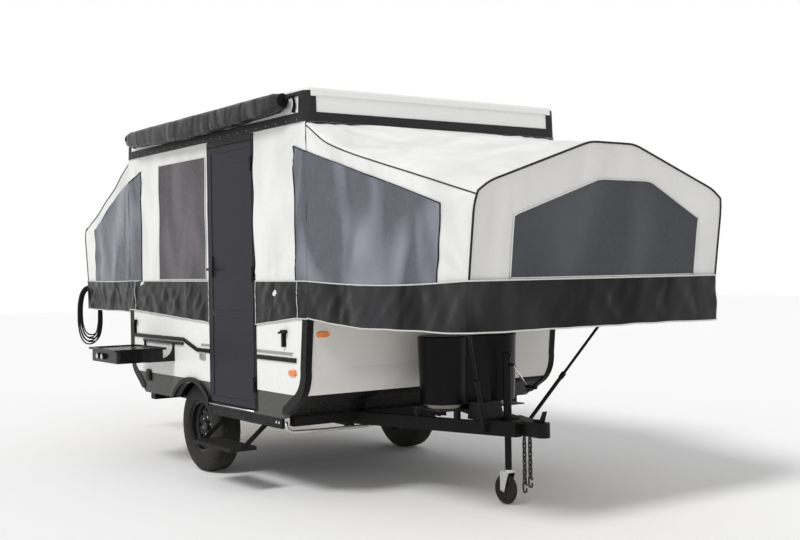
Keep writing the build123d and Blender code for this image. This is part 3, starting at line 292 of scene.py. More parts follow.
def make_finish(name, tint, rough, vary=0.08, metal=0.0, grain=45.0, bump=0.15, depth=0.0006, dust=0.06, coat=0.0,
                threads=0.0, crease_scale=5.0, fold_light_and_shade=None, lower=None, line_height=SKIRT_LINE, pale_ends=None,
                glow=0.0, sheen=0.0, gleam=0.5):
    """A Principled material with the shared groups. rough is a (smooth, dull) pair."""
    material = bpy.data.materials.new(name)
    material.use_nodes = True
    tree = material.node_tree
    specks = node(tree, "Group", {"Scale": grain}, node_tree=grain_group)
    colour = two_colours(tree, specks["Mask"], opaque(tint), opaque(tint, 1.0 - vary))
    heights = [(specks["Height"], bump)]
    if lower is not None:
        paints = {"Upper": colour, "Lower": opaque(lower), "Height": line_height}
        colour = node(tree, "Group", paints, node_tree=line_group)["Color"]
    if pale_ends is not None:
        paints = {"Dark": colour, "Pale": opaque(pale_ends)}
        colour = node(tree, "Group", paints, node_tree=rim_group)["Color"]
    # Painted light and shade along the creases: a darker colour in the folds of pale cloth, lighter streaks on dark
    # cloth.
    if fold_light_and_shade is not None:
        folds = node(tree, "Group", {"Scale": crease_scale}, node_tree=crease_group)
        heights.append((folds["Height"], 1.0))
        colour = two_colours(tree, product(tree, folds["Mask"], FOLD_LIGHT_SHARE), colour, opaque(fold_light_and_shade))
    if threads > 0:
        cloth = node(tree, "Group", {"Threads": threads}, node_tree=weave_group)
        heights.append((cloth["Height"], THREAD_HEIGHT_SHARE))
    height = 0.0
    for socket, share in heights:
        height = arithmetic(tree, "ADD", product(tree, socket, share), height)
    gloss = node(tree, "MapRange", {"Value": specks["Mask"], "To Min": rough[0], "To Max": rough[1]})
    fill(tree, tree.nodes["Principled BSDF"], {
        "Base Color": node(tree, "Group", {"Clean": colour, "Amount": dust}, node_tree=dust_group)["Color"],
        "Roughness": gloss["Result"],
        "Normal": node(tree, "Bump", {"Height": height, "Distance": depth, "Strength": 0.8})["Normal"],
        "Metallic": metal, "Coat Weight": coat, "Specular IOR Level": gleam, "Sheen Weight": sheen,
        "Emission Color": opaque(tint), "Emission Strength": glow,
    })
    return material


# %% Finishes of this trailer
WHITE_GEL = (0.83, 0.83, 0.815)
TRAY_TOP = at(0.0, 0.0, 622.0).z
white_cloth = dict(vary=0.03, grain=60, bump=0.006, threads=70, dust=0.0, sheen=0.1, gleam=0.25)
screen_mesh = dict(vary=0.08, grain=35, bump=0.004, threads=110, dust=0.0)
recipes = {
    "white_skin": dict(tint=WHITE_GEL, rough=(0.2, 0.34), vary=0.03, grain=9, lower=(0.072, 0.072, 0.070),
                       gleam=0.16),
    "nose_skin": dict(tint=(0.76, 0.755, 0.735), rough=(0.2, 0.34), vary=0.03, grain=9,
                      lower=(0.003, 0.003, 0.0032), gleam=0.08),
    "roof_skin": dict(tint=WHITE_GEL, rough=(0.3, 0.5), vary=0.05, grain=70, dust=0.0, gleam=0.3),
    "moulding_black": dict(tint=(0.006, 0.006, 0.0065), rough=(0.3, 0.45), vary=0.2, grain=60, gleam=0.12),
    "roof_edge_grey": dict(tint=(0.026, 0.026, 0.028), rough=(0.38, 0.52), vary=0.15, grain=50, dust=0.0,
                           gleam=0.12, pale_ends=WHITE_GEL),
    "chassis_black": dict(tint=(0.005, 0.005, 0.0055), rough=(0.32, 0.5), vary=0.25, grain=30, dust=0.04,
                          gleam=0.12),
    "under_floor": dict(tint=(0.014, 0.013, 0.012), rough=(0.6, 0.8), vary=0.3, grain=14, dust=0.10, gleam=0.15),
    # The fold colours below are painted light and shade: darker than the cloth on the white cloths, lighter streaks
    # on the band, the screens and the bag.
    "tent_white": dict(white_cloth, tint=(0.84, 0.84, 0.83), rough=(0.62, 0.78), crease_scale=3.0, depth=0.075,
                       fold_light_and_shade=(0.715, 0.715, 0.70)),
    "face_grey": dict(white_cloth, tint=(0.74, 0.735, 0.72), rough=(0.6, 0.75), crease_scale=2.8, depth=0.070,
                      fold_light_and_shade=(0.68, 0.675, 0.66)),
    "band_dark": dict(tint=(0.007, 0.007, 0.008), rough=(0.24, 0.36), grain=25, bump=0.004, crease_scale=3.0,
                      depth=0.060, dust=0.0, gleam=0.14, fold_light_and_shade=(0.032, 0.032, 0.034)),
    "screen_blue": dict(screen_mesh, tint=(0.095, 0.098, 0.120), rough=(0.34, 0.5), crease_scale=3.0, depth=0.055,
                        gleam=0.35, fold_light_and_shade=(0.28, 0.285, 0.335)),
    "screen_warm": dict(screen_mesh, tint=(0.078, 0.072, 0.080), rough=(0.5, 0.66), crease_scale=2.4, depth=0.035,
                        gleam=0.3, fold_light_and_shade=(0.14, 0.128, 0.138)),
    "screen_dark": dict(screen_mesh, tint=(0.052, 0.054, 0.062), rough=(0.46, 0.62), crease_scale=1.8, depth=0.030,
                        gleam=0.25, fold_light_and_shade=(0.082, 0.084, 0.094)),
    "piping_white": dict(tint=(0.62, 0.62, 0.6), rough=(0.4, 0.55), dust=0.0),
    "piping_dark": dict(tint=(0.02, 0.02, 0.02), rough=(0.4, 0.55), dust=0.0, gleam=0.12),
    "awning_vinyl": dict(tint=(0.010, 0.010, 0.011), rough=(0.24, 0.38), vary=0.3, grain=40, bump=0.010,
                         depth=0.040, dust=0.0, gleam=0.15, fold_light_and_shade=(0.052, 0.052, 0.056)),
    "door_skin": dict(tint=(0.020, 0.0195, 0.026), rough=(0.4, 0.56), vary=0.1, grain=160, bump=0.4, dust=0.02,
                      gleam=0.15),
    "door_black": dict(tint=(0.005, 0.005, 0.0055), rough=(0.3, 0.45), vary=0.2, dust=0.03, gleam=0.12),
    "tyre_rubber": dict(tint=(0.016, 0.016, 0.016), rough=(0.62, 0.82), vary=0.25, grain=55, dust=0.10, gleam=0.15),
    "rim_black": dict(tint=(0.009, 0.009, 0.010), rough=(0.22, 0.4), vary=0.2, grain=30, dust=0.04, gleam=0.2),
    "zinc_steel": dict(tint=(0.55, 0.55, 0.54), rough=(0.3, 0.48), metal=0.9, vary=0.2, grain=24, dust=0.03),
    "bright_steel": dict(tint=(0.66, 0.66, 0.65), rough=(0.18, 0.32), metal=1.0, vary=0.12, grain=40, dust=0.03),
    "cover_black": dict(tint=(0.0025, 0.0025, 0.003), rough=(0.28, 0.4), vary=0.15, grain=220, bump=0.6, dust=0.0,
                        gleam=0.12),
    "bottle_paint": dict(tint=(0.62, 0.59, 0.53), rough=(0.3, 0.45), vary=0.06, grain=12,
                         lower=(0.009, 0.009, 0.010), line_height=TRAY_TOP, gleam=0.3),
    "grey_case": dict(tint=(0.024, 0.024, 0.027), rough=(0.4, 0.55), vary=0.1, grain=120, bump=0.4, gleam=0.15),
    "bunk_ply": dict(tint=(0.42, 0.33, 0.22), rough=(0.5, 0.68), vary=0.2, grain=10, dust=0.0),
    "chain_steel": dict(tint=(0.04, 0.04, 0.041), rough=(0.34, 0.5), metal=0.5, vary=0.3, grain=60),
    "enamel_black": dict(tint=(0.008, 0.008, 0.009), rough=(0.2, 0.34), vary=0.15, grain=30, coat=0.1, dust=0.02,
                         gleam=0.15),
    "amber_glass": dict(tint=(0.80, 0.20, 0.015), rough=(0.12, 0.2), vary=0.2, grain=90, coat=0.5, glow=0.10),
    "red_glass": dict(tint=(0.42, 0.015, 0.012), rough=(0.12, 0.2), vary=0.2, grain=90, coat=0.5, glow=0.05),
    "cable_black": dict(tint=(0.009, 0.009, 0.009), rough=(0.42, 0.6), vary=0.2, grain=70, gleam=0.15),
    "step_grit": dict(tint=(0.010, 0.010, 0.010), rough=(0.5, 0.75), vary=0.4, grain=260, bump=1.0, depth=0.0012,
                      gleam=0.15),
    "stripe_grey": dict(tint=(0.33, 0.33, 0.33), rough=(0.3, 0.42), vary=0.04, grain=20, gleam=0.2),
}
finishes = {name: make_finish(name, **values) for name, values in recipes.items()}
print("finishes:", len(finishes))

# %% [markdown]
# The CAD pieces that are right as they stand only need their finish. Their meshes stay as they are, and each keeps
# its own node, so a table from finish to nodes is enough.

# %% Finishes on the CAD pieces
nodes_of_finish = {
    "white_skin": "box_side_kerb box_side_road box_rear",
    "nose_skin": "box_front",
    "under_floor": "floor_pan",
    "moulding_black": "edge_trims belt_trims wheel_flares",
    "chassis_black": "wheel_wells chassis_frame a_frame axle coupler jack_tube jack_leg support_poles "
                     "step_bracket step_arms stabiliser_hangers stabiliser_front_kerb stabiliser_front_road "
                     "stabiliser_rear_kerb stabiliser_rear_road",
    "tyre_rubber": "tyre_kerb tyre_road caster_wheel",
    "rim_black": "rim_kerb rim_road",
    "door_black": "door_frame roof_latches",
    "door_skin": "door_leaf",
    "roof_skin": "roof_shell",
    "roof_edge_grey": "roof_trim",
    "zinc_steel": "lift_posts bow_front bow_rear bunk_rails cord_hook",
    "bright_steel": "caster_fork",
    "chain_steel": "safety_chains",
    "awning_vinyl": "awning_bag",
    "tent_white": "tent_wall_kerb tent_wall_road tent_front tent_rear",
    "screen_warm": "tent_windows",
    "bunk_ply": "bunk_front bunk_rear",
    "bottle_paint": "gas_bottles",
    "cover_black": "gas_cover",
    "grey_case": "battery_box",
    "enamel_black": "griddle griddle_bracket",
    "amber_glass": "marker_lamps",
    "red_glass": "tail_lamps",
    "step_grit": "step_tread",
    "cable_black": "power_cord",
}
node_finish = {name: look for look, names in nodes_of_finish.items() for name in names.split()}
for name, thing in nodes.items():
    thing.data.materials.clear()
    thing.data.materials.append(finishes[node_finish[name]])

# %% [markdown]
# Cloth, tubes and small hardware are all meshes written point by point. A few helpers cover them: rows of
# points become a sheet, rings of points become a capped tube, and many small parts become one piece.


# %% Mesh helpers
def place_piece(piece, body):
    """Put a new piece into the scene. It rides on a body."""
    show(piece)
    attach(piece, body)
    print("made", piece.name, "on", body)
    return piece


def put(name, points, faces, look, body="trailer", smooth=True):
    """A mesh piece in the shared frame."""
    mesh = bpy.data.meshes.new(name)
    mesh.from_pydata([tuple(point) for point in points], [], faces)
    mesh.validate()
    mesh.materials.append(finishes[look])
    for face in mesh.polygons:
        face.use_smooth = smooth
    return place_piece(bpy.data.objects.new(name, mesh), body)


def flat_list(rows):
    return [point for row in rows for point in row]


def skin(rows, count, ring=False, loop=False):
    """Faces between rows of points. A ring closes each row, a loop joins the last row to the first."""
    faces = []
    for row in range(rows if loop else rows - 1):
        one, two = row * count, (row + 1) % rows * count
        for step in range(count if ring else count - 1):
            other = (step + 1) % count
            faces.append((one + step, one + other, two + other, two + step))
    return faces


def sheet_from(name, rows, look):
    """A sheet of quads from rows of points, all rows the same length."""
    return put(name, flat_list(rows), skin(len(rows), len(rows[0])), look)


def capped_rings(name, rings, look, body="trailer"):
    """A closed skin over rings of points, with a flat cap at both ends."""
    count, total = len(rings[0]), len(rings) * len(rings[0])
    caps = [tuple(reversed(range(count))), tuple(range(total - count, total))]
    return put(name, flat_list(rings), skin(len(rings), count, ring=True) + caps, look, body)


# %% [markdown]
# Pipes, pipings and cords are round tubes that follow a line. Screw heads, nuts and knobs are all the same
# domed disc at different sizes, so a row of them can be one mesh and cost next to nothing.


# %% Tubes and small parts
def circle(sides, offset=0.0):
    """Cosine and sine at even steps round a circle."""
    angles = [2 * math.pi * (number + offset) / sides for number in range(sides)]
    return [(math.cos(angle), math.sin(angle)) for angle in angles]


def square_to(line, spare):
    """A level direction square to a line, or the spare one where the line is upright."""
    side = line.cross(Vector((0.0, 0.0, 1.0)))
    if side.length < 0.05:
        side = spare
    side.normalize()
    return side


def tube(name, line, radius, look, body="trailer", sides=8):
    """A capped round tube along a line of points."""
    line = [Vector(point) for point in line]
    rings = []
    for number, point in enumerate(line):
        ahead = (line[min(number + 1, len(line) - 1)] - line[max(number - 1, 0)]).normalized()
        side = square_to(ahead, ahead.cross(Vector((0.0, 1.0, 0.0))))
        up = side.cross(ahead)
        rings.append([point + side * (radius * c) + up * (radius * s) for c, s in circle(sides)])
    return capped_rings(name, rings, look, body)


def joined(name, parts, look, body="trailer"):
    """One piece from many small ones, each a pair of points and faces."""
    points, faces = [], []
    for part_points, part_faces in parts:
        start = len(points)
        points.extend(part_points)
        faces.extend(tuple(start + place for place in face) for face in part_faces)
    return put(name, points, faces, look, body, smooth=False)


def button(centre, facing, radius, rise, sides=12, dome=0.72):
    """A small domed disc, such as a screw head or a stud, as points and faces."""
    facing = Vector(facing).normalized()
    side = square_to(facing, Vector((1.0, 0.0, 0.0)))
    up = facing.cross(side)
    points = []
    for share, lift in ((1.0, 0.0), (1.0, 0.55), (dome, 1.0)):
        for c, s in circle(sides):
            points.append(Vector(centre) + (side * c + up * s) * (radius * share) + facing * (rise * lift))
    return points, skin(3, sides, ring=True) + [tuple(range(2 * sides, 3 * sides))]


# %% [markdown]
# The tent ends are cloth pulled over a bow at the bunk's far edge. The roof line sags like a rope between the
# lifted roof and the bow, and the side walls run straight down into a dark band. The cross-section is given
# at four stations along the bunk, and everything between them is a smooth blend of those rows.

# %% Tent end stations
BAND_LOW, BAND_HIGH = 1227.0, 1490.0
CLOTH_START = 1512.0
BOW_WIDTH = 2020.0
# sign of x, place of the bow and of the second station, lean of the end, the bunk's travel in metres, stations
TentEnd = namedtuple("TentEnd", "name sign limit mid lean travel stations")
tents = [
    # each station: ahead, half width, shoulder height, half ridge, ridge height
    TentEnd("front", 1, 3101.0, 1790.0, 0.131, 1.545, (
        (CLOTH_START, 1085.0, 2524.0, 520.0, 2536.0),
        (1790.0, 1072.0, 2372.0, 420.0, 2486.0),
        (2309.0, 1047.0, 2213.0, 325.0, 2398.0),
        (3101.0, 1010.0, 2000.0, 181.0, 2280.0),
    )),
    TentEnd("rear", -1, 2751.0, 1870.0, math.tan(math.radians(9.6)), 1.225, (
        (CLOTH_START, 1085.0, 2524.0, 520.0, 2536.0),
        (1870.0, 1066.0, 2336.0, 420.0, 2450.0),
        (2290.0, 1041.0, 2168.0, 310.0, 2362.0),
        (2751.0, 1010.0, 2006.0, 181.0, 2280.0),
    )),
]


def unit(value):
    """The value held between 0 and 1."""
    return min(1.0, max(0.0, value))


def steps(low, high, count):
    """Evenly spaced numbers from low to high, both included."""
    return [low + (high - low) * number / (count - 1) for number in range(count)]


def section_at(tent, ahead):
    """The row of sizes at a distance from the box's middle, smoothly between the stations."""
    table = tent.stations
    ahead = min(max(ahead, table[0][0]), table[-1][0])
    number = 0
    while ahead > table[number + 1][0] + 1e-6:
        number += 1
    low, high = table[number], table[number + 1]
    before, after = table[max(number - 1, 0)], table[min(number + 2, len(table) - 1)]
    span = high[0] - low[0]
    t = (ahead - low[0]) / span
    row = []
    for column in range(1, 5):
        slope_low = (high[column] - before[column]) / (high[0] - before[0]) * span
        slope_high = (after[column] - low[column]) / (after[0] - low[0]) * span
        row.append(
            (2 * t**3 - 3 * t**2 + 1) * low[column] + (t**3 - 2 * t**2 + t) * slope_low
            + (-2 * t**3 + 3 * t**2) * high[column] + (t**3 - t**2) * slope_high
        )
    return row


def roof_line(row, across):
    """Height of the tent's top at a place across it, with the corners eased."""
    half, shoulder, ridge_half, ridge = row
    total = 0.0
    for shift in range(-45, 46, 15):
        beyond = max(0.0, min(abs(across + shift), half) - ridge_half)
        total += ridge + (shoulder - ridge) * beyond / (half - ridge_half)
    return total / 7


# %% [markdown]
# Tent cloth is never smooth. Two kinds of fold are added to it: a ripple of noise over the whole sheet, and
# tension folds that fan out of the corners where it is pegged. Near the dark band both die out, because the
# cloth is sewn to it there. The result is two surfaces, the side wall and the sloping top.


# %% Surfaces of a tent end
SHOULDER_REACH, SHOULDER_CUT = 150.0, 34.0


def ripple(x, y, z, seed, size):
    """A smooth fold height in millimetres, the same on every run."""
    spot = Vector((x / 1000.0 * 2.1 + seed, y / 1000.0 * 2.1, z / 1000.0 * 1.3))
    return size * (noise.noise(spot) + 0.5 * noise.noise(spot * 2.3))


def pull(x, z, corner, count, length, size):
    """Tension folds that fan out of a corner where cloth is pegged down."""
    dx, dz = x - corner[0], z - corner[1]
    far = math.hypot(dx, dz) + 1e-6
    return size * math.sin(math.atan2(dz, dx) * count) * math.exp(-far / length) * far / (far + 90.0)


def bulge(share):
    """0 at both ends of a span and 1 in its middle."""
    return math.sin(math.pi * unit(share))


def toward_bow(tent, ahead):
    return unit((ahead - tent.mid) / (tent.limit - tent.mid))


def end_place(tent, ahead, across, height, leans_at):
    """A point of the tent end, leant out as at a height and rounded at the bow's bent shoulder."""
    half, shoulder = section_at(tent, ahead)[:2]
    x = ahead + toward_bow(tent, ahead) * tent.lean * max(0.0, leans_at - BAND_HIGH)
    near = max(0.0, 1.0 - math.hypot(half - abs(across), shoulder - height) / SHOULDER_REACH)
    inward = SHOULDER_CUT * toward_bow(tent, ahead) * near**2
    return at(tent.sign * x, across - math.copysign(0.5 * inward, across), height - 0.86 * inward)


def side_point(tent, side, ahead, height, lift=0.0):
    """A point on the side wall of a tent end, lift millimetres proud of the cloth."""
    half, shoulder = section_at(tent, ahead)[:2]
    edge = bulge((ahead - CLOTH_START) / (tent.limit - CLOTH_START)) ** 0.5
    belly = -9.0 * edge * bulge((height - BAND_HIGH) / (shoulder - BAND_HIGH))
    fold = ripple(ahead, side * 900.0, height, 3.1 * side, 12.0)
    fold += pull(ahead, height, (tent.limit, BAND_HIGH), 11, 700.0, 12.0)
    fold += pull(ahead, height, (CLOTH_START, BAND_HIGH), 10, 640.0, 11.0)
    fold += pull(ahead, height, (tent.limit, shoulder), 9, 620.0, 12.0)
    fold += pull(ahead, height, (1400.0, 2520.0), 13, 700.0, 12.0)
    calm = unit((height - 1480.0) / 150.0)
    return end_place(tent, ahead, side * (half + belly + fold * edge * calm + lift), height, height)


def top_point(tent, ahead, across):
    """A point on the sloping roof of a tent end."""
    row = section_at(tent, ahead)
    height = roof_line(row, across)
    inner = bulge((ahead - CLOTH_START) / (tent.limit - CLOTH_START))
    sag = 16.0 * inner * (1.0 - (across / row[0]) ** 2)
    fold = ripple(ahead * 1.5, across * 1.2, 0.0, 7.7, 14.0) * inner
    for side in (1, -1):
        fold += pull(ahead, across, (tent.limit, side * row[2]), 9, 700.0, 10.0)
        fold += pull(ahead, across, (1400.0, side * 900.0), 12, 600.0, 10.0)
    return end_place(tent, ahead, across, height - sag + fold, height)


# %% [markdown]
# Real tent cloth is cut flat and pulled tight, so the sheet is made as rows from foot to ridge to foot, and its
# folds are small. Its flat cut is the measured size of such a panel with a hem. On the real trailer the cloth
# crumples towards the box when the bunk slides in.


def share_kept(tent):
    """How much of its length the cloth keeps, so that it ends just outside the bow when the bunk is in."""
    low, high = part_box(f"bow_{tent.name}")
    start = at(tent.sign * CLOTH_START, 0.0, 0.0).x
    bow_out = abs((high.x if tent.sign > 0 else low.x) - start) - tent.travel
    return (bow_out + 0.012) / ((tent.limit - CLOTH_START) / 1000.0)


def fold_in(piece):
    """Gives the piece its own copy of its mesh."""
    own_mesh(piece)


SEAM_ALLOWANCE = 46
for tent in tents:
    print(tent.name, "cloth keeps", round(share_kept(tent), 3), "of its length")
    rows = []
    for ahead in steps(CLOTH_START, tent.limit, 130):
        half, shoulder = section_at(tent, ahead)[:2]
        heights = steps(BAND_HIGH - SEAM_ALLOWANCE, shoulder - 12, 58)
        line = [side_point(tent, -1, ahead, height) for height in heights]
        line += [top_point(tent, ahead, across) for across in steps(3 - half, half - 3, 60)]
        line += [side_point(tent, 1, ahead, height) for height in reversed(heights)]
        rows.append(line)
    cloth = sheet_from(f"tent_{tent.name}_cloth", rows, "tent_white")
    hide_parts(f"tent_{tent.name}")
    fold_in(cloth)


# %% [markdown]
# The flat face at the bow is a separate panel. The dark band below is a heavier coated cloth that hooks under
# the bunk board, so it has larger, slanting folds and a hem that sags. It runs down one side of the bunk,
# across its end and back up the other, and a place between 0 and 1 along that way is enough to find a point.


# %% Surfaces of the face and the band
JOINT_CALM = 110.0


def face_point(tent, across, height, lift=0.0):
    """A point on the end face of a tent end."""
    row = section_at(tent, tent.limit)
    half, top = row[0], roof_line(row, across)
    inside = max(0.0, math.cos(math.pi * across / (2.2 * half)))
    inside *= bulge((height - BAND_HIGH) / max(1.0, top - BAND_HIGH))
    fold = ripple(11.0, across, height, 5.3, 4.0)
    fold += pull(across, height, (-half, BAND_HIGH), 8, 350.0, 4.0)
    fold += pull(across, height, (half, BAND_HIGH), 8, 350.0, 4.0)
    spot = end_place(tent, tent.limit, across, height, height)
    return spot + Vector((tent.sign * ((fold - 7.0) * inside + lift) / 1000.0, 0.0, 0.0))


def between(points, place):
    """Height of a broken line at a place along it."""
    for (x0, z0), (x1, z1) in zip(points, points[1:]):
        if x0 <= place <= x1:
            return z0 + (z1 - z0) * (place - x0) / (x1 - x0)
    return points[-1][1] if place > points[-1][0] else points[0][1]


def slant_folds(along, height, seed):
    """Slanting folds of a slack coated cloth in millimetres, long down the slope and short across it."""
    down, over = (along * 0.62 + height * 0.78) / 240.0, (along * 0.78 - height * 0.62) / 80.0
    back = (along * 0.78 + height * 0.62) / 105.0
    fold = 12.0 * noise.noise(Vector((down, over, seed)))
    fold += 9.0 * noise.noise(Vector((down + 9.0, back, seed + 3.0)))
    return max(-12.0, fold)


def band_edges(tent, far):
    """Hem and top height of the band. Both sag between the box and the bow, and the hem isn't quite even."""
    side_length = tent.limit - CLOTH_START
    place = min(far, 2 * side_length + BOW_WIDTH - far)
    dip = bulge(place / side_length)
    if tent.sign > 0:
        hem_line = ((0.0, 24.0), (250.0, -8.0), (600.0, -28.0), (side_length + BOW_WIDTH / 2, -20.0))
        hem, top = between(hem_line, place), BAND_HIGH - 26.0 * dip
    else:
        hem, top = -4.0 * dip, BAND_HIGH - 6.0 * dip
    return BAND_LOW + hem + 5.0 * noise.noise(Vector((far / 190.0, 0.5, 2.0))), top


def band_point(tent, place, height, lift=0.0):
    """A point on the band, place running 0 to 1 down one side, across the end and back up the other."""
    side_length = tent.limit - CLOTH_START
    far = place * (2 * side_length + BOW_WIDTH)
    past_end = far - side_length - BOW_WIDTH
    hem, top = band_edges(tent, far)
    drop = unit((BAND_HIGH - height) / (BAND_HIGH - BAND_LOW))
    slack = math.sin(math.pi * (0.06 + 0.86 * drop)) * min(1.0, min(far, side_length - past_end) / JOINT_CALM)
    out_by = max(-6.0, slack * slant_folds(far, height, 4.0 * tent.sign)) + 12.0 + lift
    height = top + (hem - top) * drop
    if far < side_length:
        ahead = CLOTH_START + far
        return at(tent.sign * ahead, -(section_at(tent, ahead)[0] + out_by), height)
    if past_end > 0:
        ahead = tent.limit - past_end
        return at(tent.sign * ahead, section_at(tent, ahead)[0] + out_by, height)
    return at(tent.sign * (tent.limit + out_by), far - side_length - BOW_WIDTH / 2, height)


# %% [markdown]
# Both become sheets. Pale piping runs where the band meets the white cloth and along its hem, and dark piping round
# the face and down the two seams of the top.

# %% Face, band and piping of the tent ends
for tent in tents:
    row = section_at(tent, tent.limit)
    half, shoulder = row[:2]
    low = BAND_HIGH - 2
    rows = []
    for share in steps(0.0, 1.0, 34):
        spots = [(across, low + share * (roof_line(row, across) - low)) for across in steps(1 - half, half - 1, 66)]
        rows.append([face_point(tent, across, height) for across, height in spots])
    face_panel = sheet_from(f"tent_{tent.name}_face", rows, "face_grey")

    shares = steps(0.0, 1.0, 430)
    rows = [[band_point(tent, share, height) for share in shares] for height in steps(BAND_LOW, BAND_HIGH, 20)]
    band = sheet_from(f"tent_{tent.name}_band", rows, "band_dark")

    soft_pieces = [face_panel, band]
    for label, height, lift in (("top_piping", BAND_HIGH, 4.0), ("hem_piping", BAND_LOW, 2.0)):
        line = [band_point(tent, share, height, lift) for share in shares]
        soft_pieces.append(tube(f"tent_{tent.name}_{label}", line, 0.0045, "piping_white"))
    heights = steps(BAND_HIGH, shoulder - 30, 14)
    line = [face_point(tent, -half, height, 2.0) for height in heights]
    line += [face_point(tent, across, roof_line(row, across) + 2, 2.0) for across in steps(4 - half, half - 4, 60)]
    line += [face_point(tent, half, height, 2.0) for height in reversed(heights)]
    soft_pieces.append(tube(f"tent_{tent.name}_rim_piping", line, 0.0065, "piping_dark"))
    for side, label in ((-1, "kerb"), (1, "road")):
        seam = [side_point(tent, side, ahead, section_at(tent, ahead)[1] - 14, 2.0)
                for ahead in steps(CLOTH_START, tent.limit, 60)]
        soft_pieces.append(tube(f"tent_{tent.name}_seam_{label}", seam, 0.004, "piping_dark"))
    for piece in soft_pieces:
        fold_in(piece)

# %% [markdown]
# The walls between the box and the roof hang from the roof's edge and are hooked along the box's top. The
# door side is parted where the door stands, so it is two sheets, and the dark band carries on along its foot.
# Their surfaces are needed first, because the screens beside the box's corners are sewn onto both.


# %% Wall and wall band surfaces
def wall_point(side, ahead, height, lift=0.0):
    """A point on the wall between box and roof, which bellies a little and wrinkles near its edges."""
    foot, head = 1243.0, 2537.0
    inside = bulge((height - foot) / (head - foot)) ** 0.7
    by_door = math.exp(-abs(ahead - 60.0) / 130.0) + math.exp(-abs(ahead - 780.0) / 130.0) if side < 0 else 0.3
    wander = 2.0 * noise.noise(Vector((ahead / 300.0, 0.0, height / 500.0)))
    fold = ripple(ahead * 1.6, side * 1100.0, height * 0.7, 1.9 * side, 5.0)
    fold += 4.5 * math.sin(ahead / 38.0 + wander) * by_door
    fold += pull(ahead, height, (1480.0, 2500.0), 15, 900.0, 13.0)
    fold += pull(ahead, height, (-1480.0, 2500.0), 12, 700.0, 10.0)
    fold += pull(ahead, height, (820.0, 1500.0), 13, 600.0, 9.0)
    return at(ahead, side * (1091.0 + max(-4.0, fold + 2.0) * inside + lift), height)


def wall_hem(side, ahead):
    """The band's hem hangs lowest beside the door."""
    if side > 0:
        droop = 18.0 * math.sin(math.pi * (ahead + CLOTH_START) / (2 * CLOTH_START))
    elif ahead < 100.0:
        droop = 66.0 * unit((ahead + 1380.0) / 1420.0)
    else:
        droop = 58.0 * max(0.0, 1.0 - (ahead - 792.0) / 560.0)
    return BAND_LOW + 16.0 - droop + 4.0 * noise.noise(Vector((ahead / 170.0, side * 2.0, 0.0)))


def wall_band_point(side, ahead, share, lift=0.0):
    """A point on the dark band of a wall, share running 0 at the hem to 1 at its top."""
    hem = wall_hem(side, ahead)
    height = hem + share * (BAND_HIGH - hem)
    slack = 0.2 + 0.8 * math.sin(math.pi * (0.9 * share + 0.02))
    slack *= min(1.0, (CLOTH_START - abs(ahead)) / JOINT_CALM)
    fold = max(-1.0, slack * (slant_folds(ahead, height, side * 3.0) + 3.0))
    return at(ahead, side * (1096.0 + fold + lift), height)


# %% [markdown]
# The window screens are darker panels sewn onto the cloth, with a bound edge. Each is a patch that follows the
# cloth below it a few millimetres proud, cut between a bottom line and a top line, so that it creases with the
# wall. Where a screen crosses from the box onto the bunk it is two patches, one on the wall and one on the tent
# end.


# %% Screen helpers
def screen_slack(place, height):
    """The thin screen is slacker than the cloth round it, with long slanting folds."""
    along = (place * 0.86 - height * 0.50) / 1000.0
    over = (height * 0.86 + place * 0.50) / 1000.0
    fine = noise.noise(Vector((along * 13.0, over * 3.0, 5.7)))
    return max(-3.0, 8.0 * noise.noise(Vector((along * 6.5, over * 1.5, 0.7))) + 3.5 * fine + 2.0)


def screen_patch(name, surface, lines, span, look, wide, tall):
    """A patch on a surface between two lines. The surface is a function of place, height and lift."""
    low_line, high_line = lines
    rows = []
    for share in steps(0.0, 1.0, tall):
        line = []
        for place in steps(*span, wide):
            low, high = between(low_line, place), between(high_line, place)
            line.append(surface(place, low + share * (high - low)))
        rows.append(line)
    return sheet_from(name, rows, look)


def binding(name, surface, lines, span, counts, radius, look):
    """The bound edge of a screen: along its foot, up its far edge, back along its top and down if it closes."""
    (low_line, high_line), (start, stop) = lines, span
    foot, rise, top, fall = counts
    edge = [surface(place, between(low_line, place)) for place in steps(start, stop, foot)]
    edge += [surface(stop, height) for height in steps(between(low_line, stop), between(high_line, stop), rise)]
    edge += [surface(place, between(high_line, place)) for place in steps(stop, start, top)]
    if fall:
        edge += [surface(start, height)
                 for height in steps(between(high_line, start), between(low_line, start), fall)]
    return tube(name, edge, radius, look, sides=6)


# %% [markdown]
# The photo gives the corners of the screens. Those on the sides slope with the roof line, and the one in the
# face has a low gable with cut corners, so each outline is two broken lines, its foot and its top.

# %% Window screens of the tent ends
EDGE_LIFT = 5.0
side_screens = {
    "front": (((1364, 1484), (2100, 1458), (2830, 1470)), ((1364, 2386), (2830, 1926))),
    "rear": (((1230, 1488), (2480, 1486)), ((1230, 2412), (1824, 2255), (2470, 1965))),
}
for tent in tents:
    lines = side_screens[tent.name]
    start, stop = lines[0][0][0], lines[0][-1][0]
    for side, label in ((-1, "kerb"), (1, "road")):
        name = f"screen_{label}_{tent.name}"

        def on_wall(place, height, lift=EDGE_LIFT):
            return wall_point(side, tent.sign * place, height, lift)

        def on_end(place, height, lift=EDGE_LIFT):
            return side_point(tent, side, place, height, lift)

        inner = screen_patch(f"{name}_inner", lambda place, height: on_wall(place, height, 3.0),
                             lines, (start, CLOTH_START), "screen_blue", 12, 40)
        outer = screen_patch(name, lambda place, height: on_end(place, height, 7.0 + screen_slack(place, height)),
                             lines, (CLOTH_START, stop), "screen_blue", 80, 46)
        bound = binding(f"{name}_binding", on_end, lines, (CLOTH_START, stop), (30, 12, 40, 0),
                        0.004, "piping_dark")
        binding(f"{name}_inner_binding", on_wall, lines, (CLOTH_START, start), (8, 20, 8, 0),
                0.004, "piping_dark")
        fold_in(outer)
        fold_in(bound)

